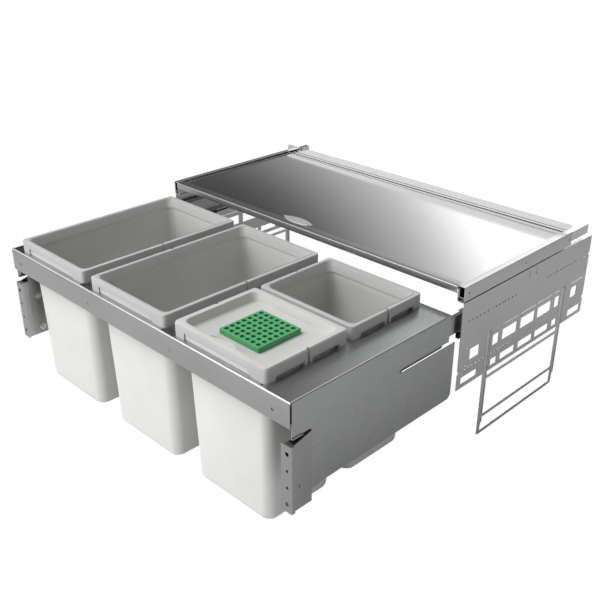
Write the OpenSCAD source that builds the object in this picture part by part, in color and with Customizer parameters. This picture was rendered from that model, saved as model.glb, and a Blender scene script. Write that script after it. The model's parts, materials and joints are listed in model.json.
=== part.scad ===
// Pull out waste bin drawer for a kitchen base cabinet, drawn with the drawer fully open.
// x runs across the cabinet, y from the drawer front to the cabinet's back, z up from the cabinet floor.

/* [Cabinet] */
// Clear width between the cabinet's side walls
clear_w = 864; // [846:2:944]
// Height of the drawer's top above the cabinet floor
deck_z = 327; // [322:1:360]
// How far the drawer pulls out
travel = 420; // [400:5:430]

/* [Steel sheet] */
// Thickness of the formed steel sheet
sheet_t = 1.2; // [1:0.1:1.4]
// Thickness of the door brackets
bracket_t = 1.5; // [1.2:0.1:1.8]
// Radius of the rounded corners of the sheet parts
corner_r = 8; // [4:1:12]

/* [Drawer frame] */
// Depth of the drawer's top, front to back
drawer_d = 413; // [411:1:425]
// Gap between the drawer's side panel and the cabinet wall
side_gap = 4; // [4:0.1:4.6]
// Height of the side panels
panel_h = 187; // [175:1:200]
// How much further back the lower part of a side panel reaches
panel_tail = 20; // [12:1:24]
// Height of the front rail
rail_h = 50; // [40:1:52]
// Width of the open slot in the back of a side panel
slot_h = 8; // [7:0.5:10]
// Depth from the drawer's top to the slot
slot_drop = 56; // [55.5:0.5:62]
// Length of the slot in a side panel
slot_len = 142; // [130:1:160]
// Diameter of the fixing holes in the front rail
rail_hole_d = 4; // [3:0.5:5]

/* [Bins] */
// Depth of a large bin's rim, front to back
bin_d = 395; // [370:1:396]
// Height of a bin from its rim to its foot
bin_h = 328; // [280:1:340]
// Height of the rim above the drawer's top
rim_h = 26; // [22:1:26]
// Gap between two large bins
bin_gap = 28; // [24:1:30]
// Gap between the two small bins
small_gap = 10; // [6:1:14]
// Space between the left side panel and the left bin
left_margin = 32; // [31:1:36]
// Space between the right side panel and the small bins
right_margin = 63; // [60:1:68]
// Space between the front rail and the bins
front_margin = 10; // [8:1:11]
// Wall thickness of a bin
bin_wall = 2; // [1.6:0.1:2.4]
// Wall thickness of a rim frame
rim_wall = 1.6; // [1.4:0.1:1.9]
// How far each bin wall leans in from top to bottom
draft = 8; // [6:0.5:10]
// Corner radius of a rim
rim_r = 10; // [9:1:12]

/* [Lid and odour filter] */
// Depth of the lid's pan
lid_depth = 15; // [13:1:17]
// Thickness of the lid
lid_t = 1.8; // [1.6:0.1:2]
// Side of the square filter
filter_w = 100; // [92:1:104]
// Thickness of the filter
filter_t = 10; // [8:0.5:11]
// Holes along one side of the filter
filter_n = 7; // [5:1:7]
// Diameter of a hole in the filter
filter_hole_d = 9; // [7:0.5:9.5]

/* [Side plates] */
// Depth of a side plate
plate_d = 483; // [475:1:495]
// Height of a side plate
plate_h = 185; // [182:1:190]
// How far the side plate's top stands above the drawer's top
plate_rise = 8; // [7:1:9]
// Distance from the closed drawer's front to the side plate
plate_setback = 25; // [22:1:30]
// Height of the upper windows
window_h = 24; // [20:1:26]
// Height of the lower windows
low_window_h = 15; // [12:1:17]
// Diameter of the wall screw holes
screw_hole_d = 4; // [3.5:0.5:4.5]
// Pitch of the wall screw holes in a row
screw_pitch = 12.5; // [11.5:0.5:13]

/* [Support frames] */
// Width of a support leg
leg_w = 16; // [14:0.5:18]
// Height of the cross bars between the legs
bar_h = 8; // [7:0.5:10]
// Distance of each leg from the middle of the window row
leg_offset = 143; // [141:1:144]
// Thickness of the support frame
frame_t = 1; // [0.9:0.05:1]

/* [Slides] */
// Length of a slide member
slide_len = 430; // [410:1:434]
// Height of a slide
slide_h = 45; // [42:1:46]
// Thickness of a closed slide
slide_w = 10.6; // [10.4:0.1:10.8]
// Wall of a slide member
slide_t = 1; // [0.9:0.05:1.1]
// Diameter of the bearing balls
ball_d = 3.5; // [3.4:0.1:3.6]
// Balls in one row of a cage
ball_n = 6; // [4:1:8]
// Length of a ball cage
cage_len = 150; // [130:1:160]

/* [Cover tray] */
// Depth of the cover tray, front to back
tray_d = 388; // [380:1:395]
// Height of the tray's top edge above the drawer's top
tray_rise = 45; // [44:1:48]
// Height of a tray rail
tray_rail_h = 31; // [30:0.5:32]
// Width of a tray rail
tray_rail_w = 15; // [14:0.5:16]
// How far the tray's sheet lies below its edge
tray_sink = 6; // [5:0.5:7]
// Height of the back flange above the tray's edge
tray_back_h = 15; // [10:1:20]
// Width of the tray's front lip
lip_d = 22; // [18:1:26]
// Length of the runner inside a tray rail
runner_len = 458; // [440:1:470]

/* [Hidden] */
$fn = 48;
cut = 1;
touch_gap = 0.3;
run_gap = 0.1;

// Overall depth of the open unit
overall_d = travel + plate_setback + plate_d;
// Drawer planes
drawer_w = clear_w - 2 * side_gap;
panel_out = drawer_w / 2;
panel_in = panel_out - sheet_t;
plate_out = clear_w / 2;
plate_in = plate_out - sheet_t;
panel_bottom = deck_z - panel_h;
panel_front = 4 * sheet_t;
slot_top = deck_z - slot_drop;
slot_bottom = slot_top - slot_h;
slot_start = drawer_d - slot_len;
notch_d = 47;
notch_z = deck_z - rail_h - corner_r;

// Slide planes, from the cabinet wall inwards
slide_out = panel_in - 2 * sheet_t;
slide_in = slide_out - slide_w;
slide_top = slot_top + slide_h + 1.2 * sheet_t;
slide_z = slide_top - slide_h;
slide_setback = plate_setback + 8 * sheet_t;
drawer_slide_y = 4 * sheet_t;
cabinet_slide_y = travel + slide_setback;
middle_slide_y = (drawer_slide_y + cabinet_slide_y) / 2;
carrier_out = slide_in;
carrier_in = carrier_out - sheet_t;
// How far the carrier reaches below the slide, behind the panel's slot
carrier_skirt = 20;
slide_mid_z = slide_z + slide_h / 2;
groove = 0.3 * slide_t;
layer = ball_d + 2 * run_gap - 2 * groove;
outer_half = slide_h / 2;
middle_half = outer_half - slide_t - layer;
inner_half = middle_half - slide_t - layer;
web_gap = 0.3 * slide_t;
cage_t = 0.5 * slide_t;
outer_cage_x = slide_t + web_gap;
middle_x = outer_cage_x + cage_t + web_gap;
inner_cage_x = middle_x + slide_t + web_gap;
inner_tip_x = inner_cage_x + cage_t + web_gap;
ball_x = (inner_tip_x + slide_w - slide_t) / 2;

// Front bracket
bracket_h = 133;
bracket_drop = 81;
bracket_top = deck_z - bracket_drop;
bracket_bottom = bracket_top - bracket_h;
bracket_web_out = carrier_out + bracket_t;
bracket_web_d = 60;
bracket_lip = 10;
bracket_in = bracket_web_out - 5 * bracket_t;
bracket_hole_pitch = 33;
bracket_hole_d = 8;
bracket_pilot_d = 5;
bracket_hole_inset = 10.5;
bracket_hole_x = plate_out - bracket_hole_inset;
bracket_hole_z = bracket_bottom + (bracket_h - 3 * bracket_hole_pitch) / 2;
bracket_screw_y = 37;
bracket_screw_pitch = 77;
bracket_screw_rise = 16;
bracket_screw_z = bracket_bottom + bracket_screw_rise;
bracket_screw_d = 6;
washer_d = 16;
washer_t = 1.6;
screw_head_d = 10;
screw_head_h = 3;
// Small holes in the carrier, as shares of its flag's depth and of the bracket's height
carrier_hole_shares = [[0.28, 0.58], [0.37, 0.78], [0.47, 0.26]];

// Bin places: three rims share the drawer's width; bin_x0 is the centre of the left one
bin_w = (drawer_w - left_margin - right_margin - 2 * bin_gap) / 3;
bin_x0 = -panel_out + left_margin + bin_w / 2;
bin_pitch = bin_w + bin_gap;
bin_y0 = front_margin;
small_d = (bin_d - small_gap) / 2;
rim_seat = 8;
deck_left = bin_x0 - bin_w / 2 + rim_seat;
deck_right = bin_x0 + 2 * bin_pitch + bin_w / 2 - rim_seat;
body_inset = 10;
lip_inset = 2.5;
bin_lip_t = 2;
bin_lip_z = rim_h - rim_wall - touch_gap;
body_floor_z = rim_h - bin_h;
body_r = 2 * rim_r;
foot_r = 6;
mouth_drop = 20;
mouth_inset = body_inset + bin_wall + touch_gap + draft * mouth_drop / bin_h;
mouth_r = body_r - mouth_inset + body_inset + touch_gap;
rim_round = 2.6;
slit_w = 4;
slit_h = 22;
recess_h = 7.5;
recess_inset = 22;
recess_gap = 9;
grip_h = 13;
grip_start_share = 0.12;
grip_end_share = 0.85;

// Lid: pan walls, flange and the finger grip's low crescent step
pan_inset = mouth_inset + rim_wall + 2 * touch_gap;
pan_r = mouth_r - rim_wall - 2 * touch_gap;
flange_inset = mouth_inset - 2 * lid_t;
flange_r = pan_r + pan_inset - flange_inset;
step_w = 70;
step_d = 11;
step_h = 9.5;
step_r = (step_w * step_w / 4 + step_d * step_d) / (2 * step_d);

// Side plate lines
plate_y = travel + plate_setback;
plate_top = deck_z + plate_rise;
plate_bottom = plate_top - plate_h;
window_share = 0.3;
low_window_share = 0.05;
score_share = 0.49;
row_share = 0.78;
low_row_share = 0.212;
window_z = plate_bottom + window_share * plate_h;
low_window_z = plate_bottom + low_window_share * plate_h;
score_z = plate_bottom + score_share * plate_h;
score_h = 1.4;
row_z = plate_bottom + row_share * plate_h;
low_row_z = plate_bottom + low_row_share * plate_h;
// Start and end of each window along the plate, as shares of its depth
window_start_shares = [0.076, 0.239, 0.311, 0.451, 0.587, 0.731, 0.873];
window_end_shares = [0.140, 0.282, 0.420, 0.562, 0.698, 0.770, 0.925];
low_start_shares = [0.028, 0.239, 0.311, 0.451, 0.587, 0.731, 0.873];
low_end_shares = [0.138, 0.282, 0.420, 0.562, 0.698, 0.770, 0.980];
score_start_shares = [0.030, 0.228, 0.305, 0.445, 0.580, 0.722, 0.870];
score_end_shares = [0.155, 0.290, 0.428, 0.567, 0.705, 0.776, 0.985];
// First hole of each group of wall screw holes, and how many holes the group has
row_start_shares = [0.050, 0.236, 0.303, 0.636, 0.744, 0.823];
row_counts = [6, 3, 4, 4, 3, 6];
single_shares = [[0.058, 0.45], [0.055, 0.245], [0.965, 0.245]];
mid_share = 0.5035;
plate_mid_y = plate_y + mid_share * plate_d;
leg_gap = 1;
flange_w = 12;
leg_top_z = score_z + 2 * score_h;
channel_depth = sheet_t;
tongue_w = 25;
tongue_h = 18;
tongue_slit = 1.6;
notch_r = 4;

// Support frame
leg_y1 = plate_mid_y - leg_offset - leg_w / 2;
leg_y2 = plate_mid_y + leg_offset - leg_w / 2;
frame_out = plate_out - (channel_depth - frame_t) / 2;
top_bar_gap = 10;
top_bar_z = plate_bottom - top_bar_gap - bar_h;
mid_bar_z = 39;

// Tray
tray_y = plate_y;
tray_top = deck_z + tray_rise;
tray_sheet_z = tray_top - tray_sink;
tray_t = 1;
tray_rail_z = tray_top - tray_rail_h;
rail_slot = 6;
runner_gap = 0.4;
runner_w = tray_rail_w - 2 * tray_t - 2 * runner_gap;
runner_h = 22;
runner_x = plate_out - tray_t - runner_gap - runner_w;
runner_y = tray_y + 2 * tray_t;
runner_z = tray_top - tray_t - runner_gap - runner_h;
tray_in = plate_out - tray_rail_w;
hook_w = 22;
hook_leg_h = 15;
hook_drop = 3;
hook_shares = [0.03, 0.49, 0.80];
rail_hole_shares = [0.04, 0.54, 0.98];
rivet_shares = [0.1, 0.5, 0.9];
lip_y = tray_y - 4 * tray_t;
lip_fold_z = tray_sheet_z - 8 * tray_t;
back_out = plate_out - 3 * tray_t;
badge_w = 90;
badge_d = 26;
badge_t = 1;
badge_x_share = -0.062;
badge_y = lip_y + lip_d + badge_d / 4;

// Slide bracket, cages and damper
slide_bracket_share = 0.53;
slide_bracket_leg_h = 18;
cage_share = 0.0625;
outer_cage_y = cabinet_slide_y + cage_share * slide_len;
inner_cage_y = middle_slide_y + cage_share * slide_len;
outer_ball_v = outer_half - slide_t - ball_d / 2 - run_gap + groove;
inner_ball_v = middle_half - slide_t - ball_d / 2 - run_gap + groove;
damper_share = 0.25;

// Hems of the drawer frame
hem_d = 10;
hem_x = carrier_in - corner_r;

// Puts a piece of the right-hand side on either side
module on_side(side) {
    if (side < 0) mirror([1, 0, 0]) children();
    else children();
}

// Centres the whole unit front to back
module place() {
    translate([0, -overall_d / 2, 0]) children();
}

// Stands an outline drawn in (y, z) upright and gives it a thickness along x
module upright(x0, t) {
    translate([x0, 0, 0]) rotate([90, 0, 90]) linear_extrude(t) children();
}

// Draws an (x, z) outline and runs it along y
module along_y(y0, len) {
    translate([0, y0 + len, 0]) rotate([90, 0, 0]) linear_extrude(len) children();
}

// Rounded rectangle from its lower corner
module round_rect(w, d, r) {
    translate([r, 0]) square([w - 2 * r, d]);
    translate([0, r]) square([w, d - 2 * r]);
    for (x = [r, w - r], y = [r, d - r]) translate([x, y]) circle(r);
}

// Rectangle about its centre, made smaller all round by inset, with corners of radius r
module centred_rect(w, d, r, inset) {
    translate([inset - w / 2, inset - d / 2]) round_rect(w - 2 * inset, d - 2 * inset, r);
}

// What a square corner loses when it is rounded; the corner is at the origin, the sheet towards +x and +y
module corner_loss(r) {
    difference() {
        translate([-cut, -cut]) square(r + cut);
        translate([r, r]) circle(r);
    }
}

// Plain box between two corners
module box(x0, x1, y0, y1, z0, z1) {
    translate([x0, y0, z0]) cube([x1 - x0, y1 - y0, z1 - z0]);
}

// Side plate: windows, score slots, screw holes, leg channels and the tongue at its top edge

module window_row(starts, ends, z0, h) {
    for (i = [0 : len(starts) - 1])
        translate([plate_y + starts[i] * plate_d, z0]) square([(ends[i] - starts[i]) * plate_d, h]);
}

module hole_row(z0) {
    for (i = [0 : len(row_counts) - 1], k = [0 : row_counts[i] - 1])
        translate([plate_y + row_start_shares[i] * plate_d + k * screw_pitch, z0])
            circle(d = screw_hole_d);
}

module edge_notch(y, z) {
    translate([y, z]) circle(notch_r);
}

module plate_outline() {
    difference() {
        translate([plate_y, plate_bottom]) square([plate_d, plate_h]);
        translate([plate_y, plate_top]) mirror([0, 1]) corner_loss(corner_r / 2);
        translate([plate_y + plate_d, plate_top]) rotate(180) corner_loss(corner_r / 2);
        translate([plate_y + plate_d, plate_bottom]) mirror([1, 0]) corner_loss(corner_r / 2);
        edge_notch(plate_y, low_row_z);
        edge_notch(plate_y + plate_d, low_row_z);
        edge_notch(plate_y + plate_d, row_z);
        window_row(window_start_shares, window_end_shares, window_z, window_h);
        window_row(low_start_shares, low_end_shares, low_window_z, low_window_h);
        window_row(score_start_shares, score_end_shares, score_z, score_h);
        hole_row(row_z);
        hole_row(low_row_z);
        for (s = single_shares)
            translate([plate_y + s[0] * plate_d, plate_bottom + s[1] * plate_h]) circle(d = screw_hole_d);
        for (side = [-1, 1])
            translate([plate_mid_y + side * tongue_w / 2 - tongue_slit / 2, plate_top - tongue_h])
                square([tongue_slit, tongue_h + cut]);
    }
}

module leg_slot(y0, margin) {
    translate([y0 - margin, plate_bottom - cut])
        square([leg_w + 2 * margin, leg_top_z + margin - plate_bottom + cut]);
}

// Flange folded inwards along the plate's top, open at the hooks and at the tongue's slits
module top_flange() {
    difference() {
        box(plate_in - flange_w, plate_in + sheet_t / 2, plate_y + corner_r / 2,
            plate_y + plate_d - corner_r / 2, plate_top - sheet_t, plate_top);
        for (s = hook_shares)
            translate([plate_in - sheet_t - touch_gap, tray_y + s * tray_d - touch_gap, 0])
                translate([0, 0, plate_top - 2 * sheet_t])
                    cube([sheet_t + touch_gap, hook_w + 2 * touch_gap, 3 * sheet_t]);
        for (side = [-1, 1])
            translate([plate_in - flange_w - cut, plate_mid_y + side * tongue_w / 2 - tongue_slit / 2,
                plate_top - 2 * sheet_t])
                cube([flange_w + sheet_t + cut, tongue_slit, 3 * sheet_t]);
    }
}

module side_plate() {
    color([0.56, 0.56, 0.56]) {
        top_flange();
        upright(plate_in, sheet_t) difference() {
            plate_outline();
            for (y = [leg_y1, leg_y2]) leg_slot(y, leg_gap);
        }
        upright(plate_in - channel_depth, channel_depth) intersection() {
            plate_outline();
            for (y = [leg_y1, leg_y2]) leg_slot(y, leg_gap + sheet_t);
        }
    }
}

// Support frame: two legs joined by three cross bars, sliding in the plate's channels
module support_frame() {
    legs = [leg_y1, leg_y2];
    color([0.52, 0.52, 0.52]) union() {
        upright(frame_out - frame_t, frame_t) {
            for (y = legs) difference() {
                translate([y, 0]) square([leg_w, leg_top_z]);
                for (z = [mid_bar_z + 2.5 * bar_h, 2.5 * bar_h])
                    translate([y + leg_w / 2, z]) circle(d = screw_hole_d / 2);
                translate([y, 0]) corner_loss(leg_w / 4);
                translate([y + leg_w, 0]) mirror([1, 0]) corner_loss(leg_w / 4);
            }
            for (z = [0, mid_bar_z, top_bar_z])
                translate([leg_y1 + leg_w - cut, z]) square([leg_y2 - leg_y1 - leg_w + 2 * cut, bar_h]);
        }
        // Rib down the middle of each leg, below the plate
        for (y = legs)
            box(frame_out - 2 * frame_t, frame_out - frame_t,
                y + leg_w / 2 - frame_t, y + leg_w / 2 + frame_t, bar_h, plate_bottom - 2 * bar_h);
    }
}

// Hooks that carry the tray's runner from the side plate
module runner_hooks() {
    color([0.45, 0.45, 0.45]) for (s = hook_shares)
        along_y(tray_y + s * tray_d, hook_w) {
            translate([plate_in - sheet_t, tray_rail_z - hook_drop - hook_leg_h])
                square([sheet_t, hook_leg_h + sheet_t]);
            translate([runner_x + runner_w / 2 - sheet_t / 2, tray_rail_z - hook_drop])
                square([plate_in - runner_x - runner_w / 2 + sheet_t / 2, sheet_t]);
            translate([runner_x + runner_w / 2 - sheet_t / 2, tray_rail_z - hook_drop])
                square([sheet_t, runner_z - tray_rail_z + hook_drop]);
        }
}

// Runner: a closed steel tube that stays with the cabinet
module tray_runner() {
    color([0.5, 0.5, 0.5]) along_y(runner_y, runner_len) difference() {
        translate([runner_x, runner_z]) round_rect(runner_w, runner_h, tray_t);
        translate([runner_x + tray_t, runner_z + tray_t])
            square([runner_w - 2 * tray_t, runner_h - 2 * tray_t]);
    }
}

// Tray rail: a channel that is open below and slides over the runner
module tray_rail() {
    color([0.6, 0.6, 0.6]) difference() {
        along_y(tray_y, tray_d) difference() {
            translate([tray_in, tray_rail_z]) square([tray_rail_w, tray_rail_h]);
            translate([tray_in + tray_t, tray_rail_z + tray_t])
                square([tray_rail_w - 2 * tray_t, tray_rail_h - 2 * tray_t]);
            translate([tray_in + (tray_rail_w - rail_slot) / 2, tray_rail_z - cut])
                square([rail_slot, tray_t + 2 * cut]);
        }
        for (s = rail_hole_shares)
            translate([plate_out - 2 * tray_t, tray_y + s * tray_d, tray_top - tray_rail_h / 2])
                rotate([0, 90, 0]) cylinder(d = 3 * tray_t, h = 3 * tray_t);
    }
}

// Cover tray: sunk sheet with side upstands, a folded front lip and a back flange
module tray_sheet() {
    color([0.72, 0.72, 0.72]) union() {
        box(-tray_in, tray_in, tray_y, tray_y + tray_d, tray_sheet_z - tray_t, tray_sheet_z);
        for (x = [-tray_in, tray_in - tray_t])
            box(x, x + tray_t, tray_y, tray_y + tray_d, tray_sheet_z - tray_t, tray_top);
        // Front lip: a flat strip with rounded back corners, then a fold down at the front
        translate([0, 0, tray_top - tray_t]) linear_extrude(tray_t) difference() {
            translate([-tray_in, lip_y]) square([2 * tray_in, lip_d]);
            for (side = [0, 1]) mirror([side, 0])
                translate([tray_in, lip_y + lip_d]) rotate(180) corner_loss(lip_d / 2);
        }
        box(-tray_in, tray_in, lip_y, lip_y + tray_t, lip_fold_z, tray_top);
        box(-tray_in, tray_in, lip_y, tray_y + tray_t, lip_fold_z, lip_fold_z + tray_t);
        box(-tray_in, tray_in, tray_y, tray_y + tray_t, lip_fold_z, tray_top);
        // Back flange
        along_y(tray_y + tray_d, tray_t) difference() {
            union() {
                translate([-tray_in, tray_sheet_z - tray_t]) square([2 * tray_in, tray_sink + 2 * tray_t]);
                translate([-back_out, tray_top]) square([2 * back_out, tray_back_h]);
            }
            for (side = [0, 1]) mirror([side, 0])
                translate([back_out, tray_top + tray_back_h]) rotate(180) corner_loss(corner_r);
        }
    }
}

// Lens shaped grip plate on the front lip, left bare
module tray_badge() {
    lens_r = (badge_w * badge_w / 4 + badge_d * badge_d / 4) / badge_d;
    color([0.8, 0.82, 0.8]) translate([badge_x_share * tray_in, badge_y, tray_top])
        linear_extrude(badge_t) intersection() {
            translate([0, lens_r - badge_d / 2]) circle(lens_r);
            translate([0, badge_d / 2 - lens_r]) circle(lens_r);
        }
}

// Rivets that join the tray's upstands to its rails
module tray_rivets() {
    color([0.62, 0.62, 0.62]) for (side = [-1, 1], s = rivet_shares)
        on_side(side) translate([tray_in - 2 * tray_t, tray_y + s * tray_d, tray_sheet_z + tray_sink / 2])
            rotate([0, -90, 0]) translate([0, 0, -tray_t]) cylinder(d = tray_sink / 2, h = tray_t);
}

// Bracket that carries the slide through the panel's slot
module slide_bracket() {
    y0 = plate_y + slide_bracket_share * plate_d;
    web_z = slot_bottom + slot_h / 2 - sheet_t / 2;
    color([0.48, 0.48, 0.48]) along_y(y0, slot_len) {
        translate([plate_in - sheet_t, web_z - slide_bracket_leg_h])
            square([sheet_t, slide_bracket_leg_h + sheet_t]);
        translate([slide_out, web_z]) square([plate_in - slide_out, sheet_t]);
        translate([slide_out, web_z]) square([sheet_t, slide_mid_z - web_z + slide_h / 4]);
    }
}

// Slide members: profiles are drawn with u from the cabinet wall inwards and v up from the slide's middle

module along_slide(y0, len) {
    translate([slide_out, y0 + len, slide_mid_z]) rotate([90, 0, 0])
        linear_extrude(len) mirror([1, 0]) children();
}

module channel_profile(u0, u1, half, web_at) {
    difference() {
        translate([u0, -half]) square([u1 - u0, 2 * half]);
        translate([web_at == 0 ? u0 + slide_t : u0 - cut, slide_t - half])
            square([u1 - u0 - slide_t + cut, 2 * half - 2 * slide_t]);
    }
}

module race_cuts(v) {
    for (side = [-1, 1]) translate([ball_x, side * v]) circle(ball_d / 2 + run_gap);
}

module cabinet_slide() {
    color([0.7, 0.7, 0.7]) along_slide(cabinet_slide_y, slide_len) difference() {
        channel_profile(0, slide_w - slide_t, outer_half, 0);
        race_cuts(outer_ball_v);
    }
}

module middle_slide() {
    color([0.66, 0.66, 0.66]) along_slide(middle_slide_y, slide_len) difference() {
        channel_profile(middle_x, slide_w - slide_t, middle_half, 0);
        race_cuts(outer_ball_v);
        race_cuts(inner_ball_v);
    }
}

module drawer_slide() {
    color([0.72, 0.72, 0.72]) along_slide(drawer_slide_y, slide_len) difference() {
        channel_profile(inner_tip_x, slide_w, inner_half, 1);
        race_cuts(inner_ball_v);
    }
}

// Cage: a folded strip that spaces two rows of balls
module ball_cage(y0, u0, v) {
    strip_w = ball_x + ball_d - u0;
    pitch = cage_len / ball_n;
    color([0.3, 0.3, 0.3]) difference() {
        along_slide(y0, cage_len) {
            translate([u0, -v - cage_t / 2]) square([cage_t, 2 * v + cage_t]);
            for (side = [-1, 1]) translate([u0, side * v - cage_t / 2]) square([strip_w, cage_t]);
        }
        for (side = [-1, 1], k = [0 : ball_n - 1])
            translate([slide_out - ball_x, y0 + (k + 0.5) * pitch, slide_mid_z + side * v - cage_t])
                cylinder(d = ball_d + 2 * run_gap, h = 2 * cage_t);
    }
    color([0.85, 0.85, 0.85]) for (side = [-1, 1], k = [0 : ball_n - 1])
        translate([slide_out - ball_x, y0 + (k + 0.5) * pitch, slide_mid_z + side * v])
            sphere(d = ball_d);
}

// Soft close damper under the cabinet member: housing and its ram
module soft_close_damper() {
    w = slide_w - 2 * slide_t;
    h = 1.25 * slide_w;
    y0 = cabinet_slide_y - 2 * slide_t;
    body_end = y0 + damper_share * slide_len;
    ram_end = body_end + damper_share * slide_len / 2;
    color([0.08, 0.08, 0.08]) {
        along_y(y0, body_end - y0)
            translate([slide_out - slide_t - w, slide_z - h]) round_rect(w, h, 1.5 * slide_t);
        translate([slide_out - slide_t - w / 2, body_end, slide_z - h / 2])
            rotate([-90, 0, 0]) cylinder(d = h / 3, h = ram_end - body_end);
        box(slide_out - slide_t - w, slide_out - slide_t, ram_end, ram_end + h, slide_z - h, slide_z);
    }
}

// Slide carrier: hangs under the drawer's top and holds the drawer member and the door bracket
module slide_carrier() {
    flag_d = bracket_web_d + bracket_lip;
    y0 = 15 * sheet_t;
    color([0.5, 0.5, 0.5]) difference() {
        union() {
            upright(carrier_in, sheet_t) {
                translate([y0, slide_z - carrier_skirt])
                    square([drawer_d - y0, deck_z - sheet_t - slide_z + carrier_skirt]);
                difference() {
                    translate([y0, bracket_bottom + corner_r])
                        square([flag_d, deck_z - sheet_t - bracket_bottom - corner_r]);
                    translate([y0 + flag_d, bracket_bottom + corner_r]) mirror([1, 0]) corner_loss(corner_r);
                }
            }
            box(carrier_in - corner_r, carrier_out, y0, drawer_d, deck_z - 2 * sheet_t, deck_z - sheet_t);
        }
        bracket_screw_axes() cylinder(d = bracket_screw_d + 2 * run_gap, h = 10 * bracket_t, center = true);
        for (s = carrier_hole_shares)
            translate([carrier_in, s[0] * flag_d, bracket_bottom + s[1] * bracket_h]) rotate([0, 90, 0])
                cylinder(d = bracket_pilot_d, h = 4 * sheet_t, center = true);
    }
}

module bracket_screw_axes() {
    for (k = [0, 1])
        translate([carrier_in, bracket_screw_y, bracket_screw_z + k * bracket_screw_pitch])
            rotate([0, 90, 0]) children();
}

// Side panel: upright sheet with the open slot, and the drawer's top folded inwards along it
module panel_outline() {
    difference() {
        translate([panel_front, panel_bottom])
            square([drawer_d + panel_tail - panel_front, deck_z - sheet_t - panel_bottom]);
        translate([drawer_d, slot_top]) square([panel_tail + cut, deck_z - slot_top]);
        translate([slot_start, slot_bottom]) square([drawer_d + panel_tail - slot_start + cut, slot_h]);
        translate([panel_front - cut, panel_bottom - cut])
            square([notch_d - panel_front + cut, notch_z - panel_bottom + cut]);
        translate([drawer_d + panel_tail, panel_bottom]) mirror([1, 0]) corner_loss(corner_r);
    }
}

module side_panel(deck_edge) {
    color([0.5, 0.51, 0.51]) union() {
        upright(panel_in, sheet_t) panel_outline();
        box(deck_edge, panel_out, panel_front, bin_y0 + bin_d - rim_seat, deck_z - sheet_t, deck_z);
        // Small foot under the upper part, by the bracket
        box(panel_in - 4 * sheet_t, panel_out + 2 * sheet_t, panel_front, panel_front + 15 * sheet_t,
            notch_z - sheet_t, notch_z);
    }
}

module side_panel_left() {
    on_side(-1) side_panel(-deck_left);
}

module side_panel_right() {
    side_panel(deck_right);
}

// Front rail: face, ledge under the bins' front edges and a return along its bottom
module front_rail() {
    ledge_d = bin_y0 + rim_seat;
    color([0.58, 0.58, 0.58]) difference() {
        union() {
            box(-panel_out, panel_out, 0, sheet_t, deck_z - rail_h, deck_z);
            box(-panel_out, panel_out, 0, panel_front - touch_gap, deck_z - sheet_t, deck_z);
            box(deck_left, deck_right, 0, ledge_d, deck_z - sheet_t, deck_z);
            box(-hem_x, hem_x, 0, hem_d, deck_z - rail_h, deck_z - rail_h + sheet_t);
        }
        for (k = [0 : 3])
            translate([bin_x0 - bin_w / 2 + k * (bin_pitch - sheet_t), 0, deck_z - 0.56 * rail_h])
                rotate([90, 0, 0]) cylinder(d = rail_hole_d, h = 4 * sheet_t, center = true);
    }
}

// Cross bar between two bins: flat top with two folded edges
module cross_bar(k) {
    x0 = bin_x0 + k * bin_pitch + bin_w / 2 - rim_seat;
    w = bin_gap + 2 * rim_seat;
    color([0.55, 0.56, 0.56])
        along_y(bin_y0 + rim_seat, bin_d - 2 * rim_seat) difference() {
            translate([x0, deck_z - rail_h / 2]) square([w, rail_h / 2]);
            translate([x0 + sheet_t, deck_z - rail_h / 2 - cut])
                square([w - 2 * sheet_t, rail_h / 2 - sheet_t + cut]);
        }
}

// Rear beam: the back edge of the drawer's top, folded down and hemmed
module rear_beam() {
    y0 = bin_y0 + bin_d - rim_seat;
    color([0.55, 0.56, 0.56]) union() {
        box(-panel_out, panel_out, y0, drawer_d, deck_z - sheet_t, deck_z);
        box(-hem_x, hem_x, drawer_d - sheet_t, drawer_d, deck_z - rail_h, deck_z);
        box(-hem_x, hem_x, drawer_d - hem_d, drawer_d, deck_z - rail_h, deck_z - rail_h + sheet_t);
    }
}

// Door bracket: slotted flange for the door, outer return, top cap and a long web bolted to the carrier
module front_bracket() {
    color([0.6, 0.6, 0.6]) difference() {
        union() {
            box(bracket_in, plate_out, 0, bracket_t, bracket_bottom, bracket_top);
            box(plate_out - bracket_t, plate_out, 0, bracket_lip, bracket_bottom + bracket_t, bracket_top);
            box(bracket_in, plate_out, 0, bracket_lip, bracket_top - bracket_t, bracket_top);
            upright(bracket_web_out - bracket_t, bracket_t) difference() {
                translate([0, bracket_bottom]) square([bracket_web_d, bracket_h]);
                translate([bracket_web_d, bracket_bottom]) mirror([1, 0]) corner_loss(corner_r / 2);
                translate([bracket_web_d, bracket_top]) rotate(180) corner_loss(corner_r / 2);
                translate([bracket_screw_y + bracket_t, bracket_bottom + bracket_hole_pitch])
                    circle(d = bracket_pilot_d);
            }
        }
        for (k = [0 : 3])
            translate([bracket_hole_x, 0, bracket_hole_z + k * bracket_hole_pitch]) rotate([90, 0, 0])
                cylinder(d = k % 3 == 0 ? bracket_hole_d : bracket_pilot_d, h = 4 * bracket_t, center = true);
        bracket_screw_axes() cylinder(d = bracket_screw_d + 2 * run_gap, h = 10 * bracket_t, center = true);
    }
}

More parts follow.
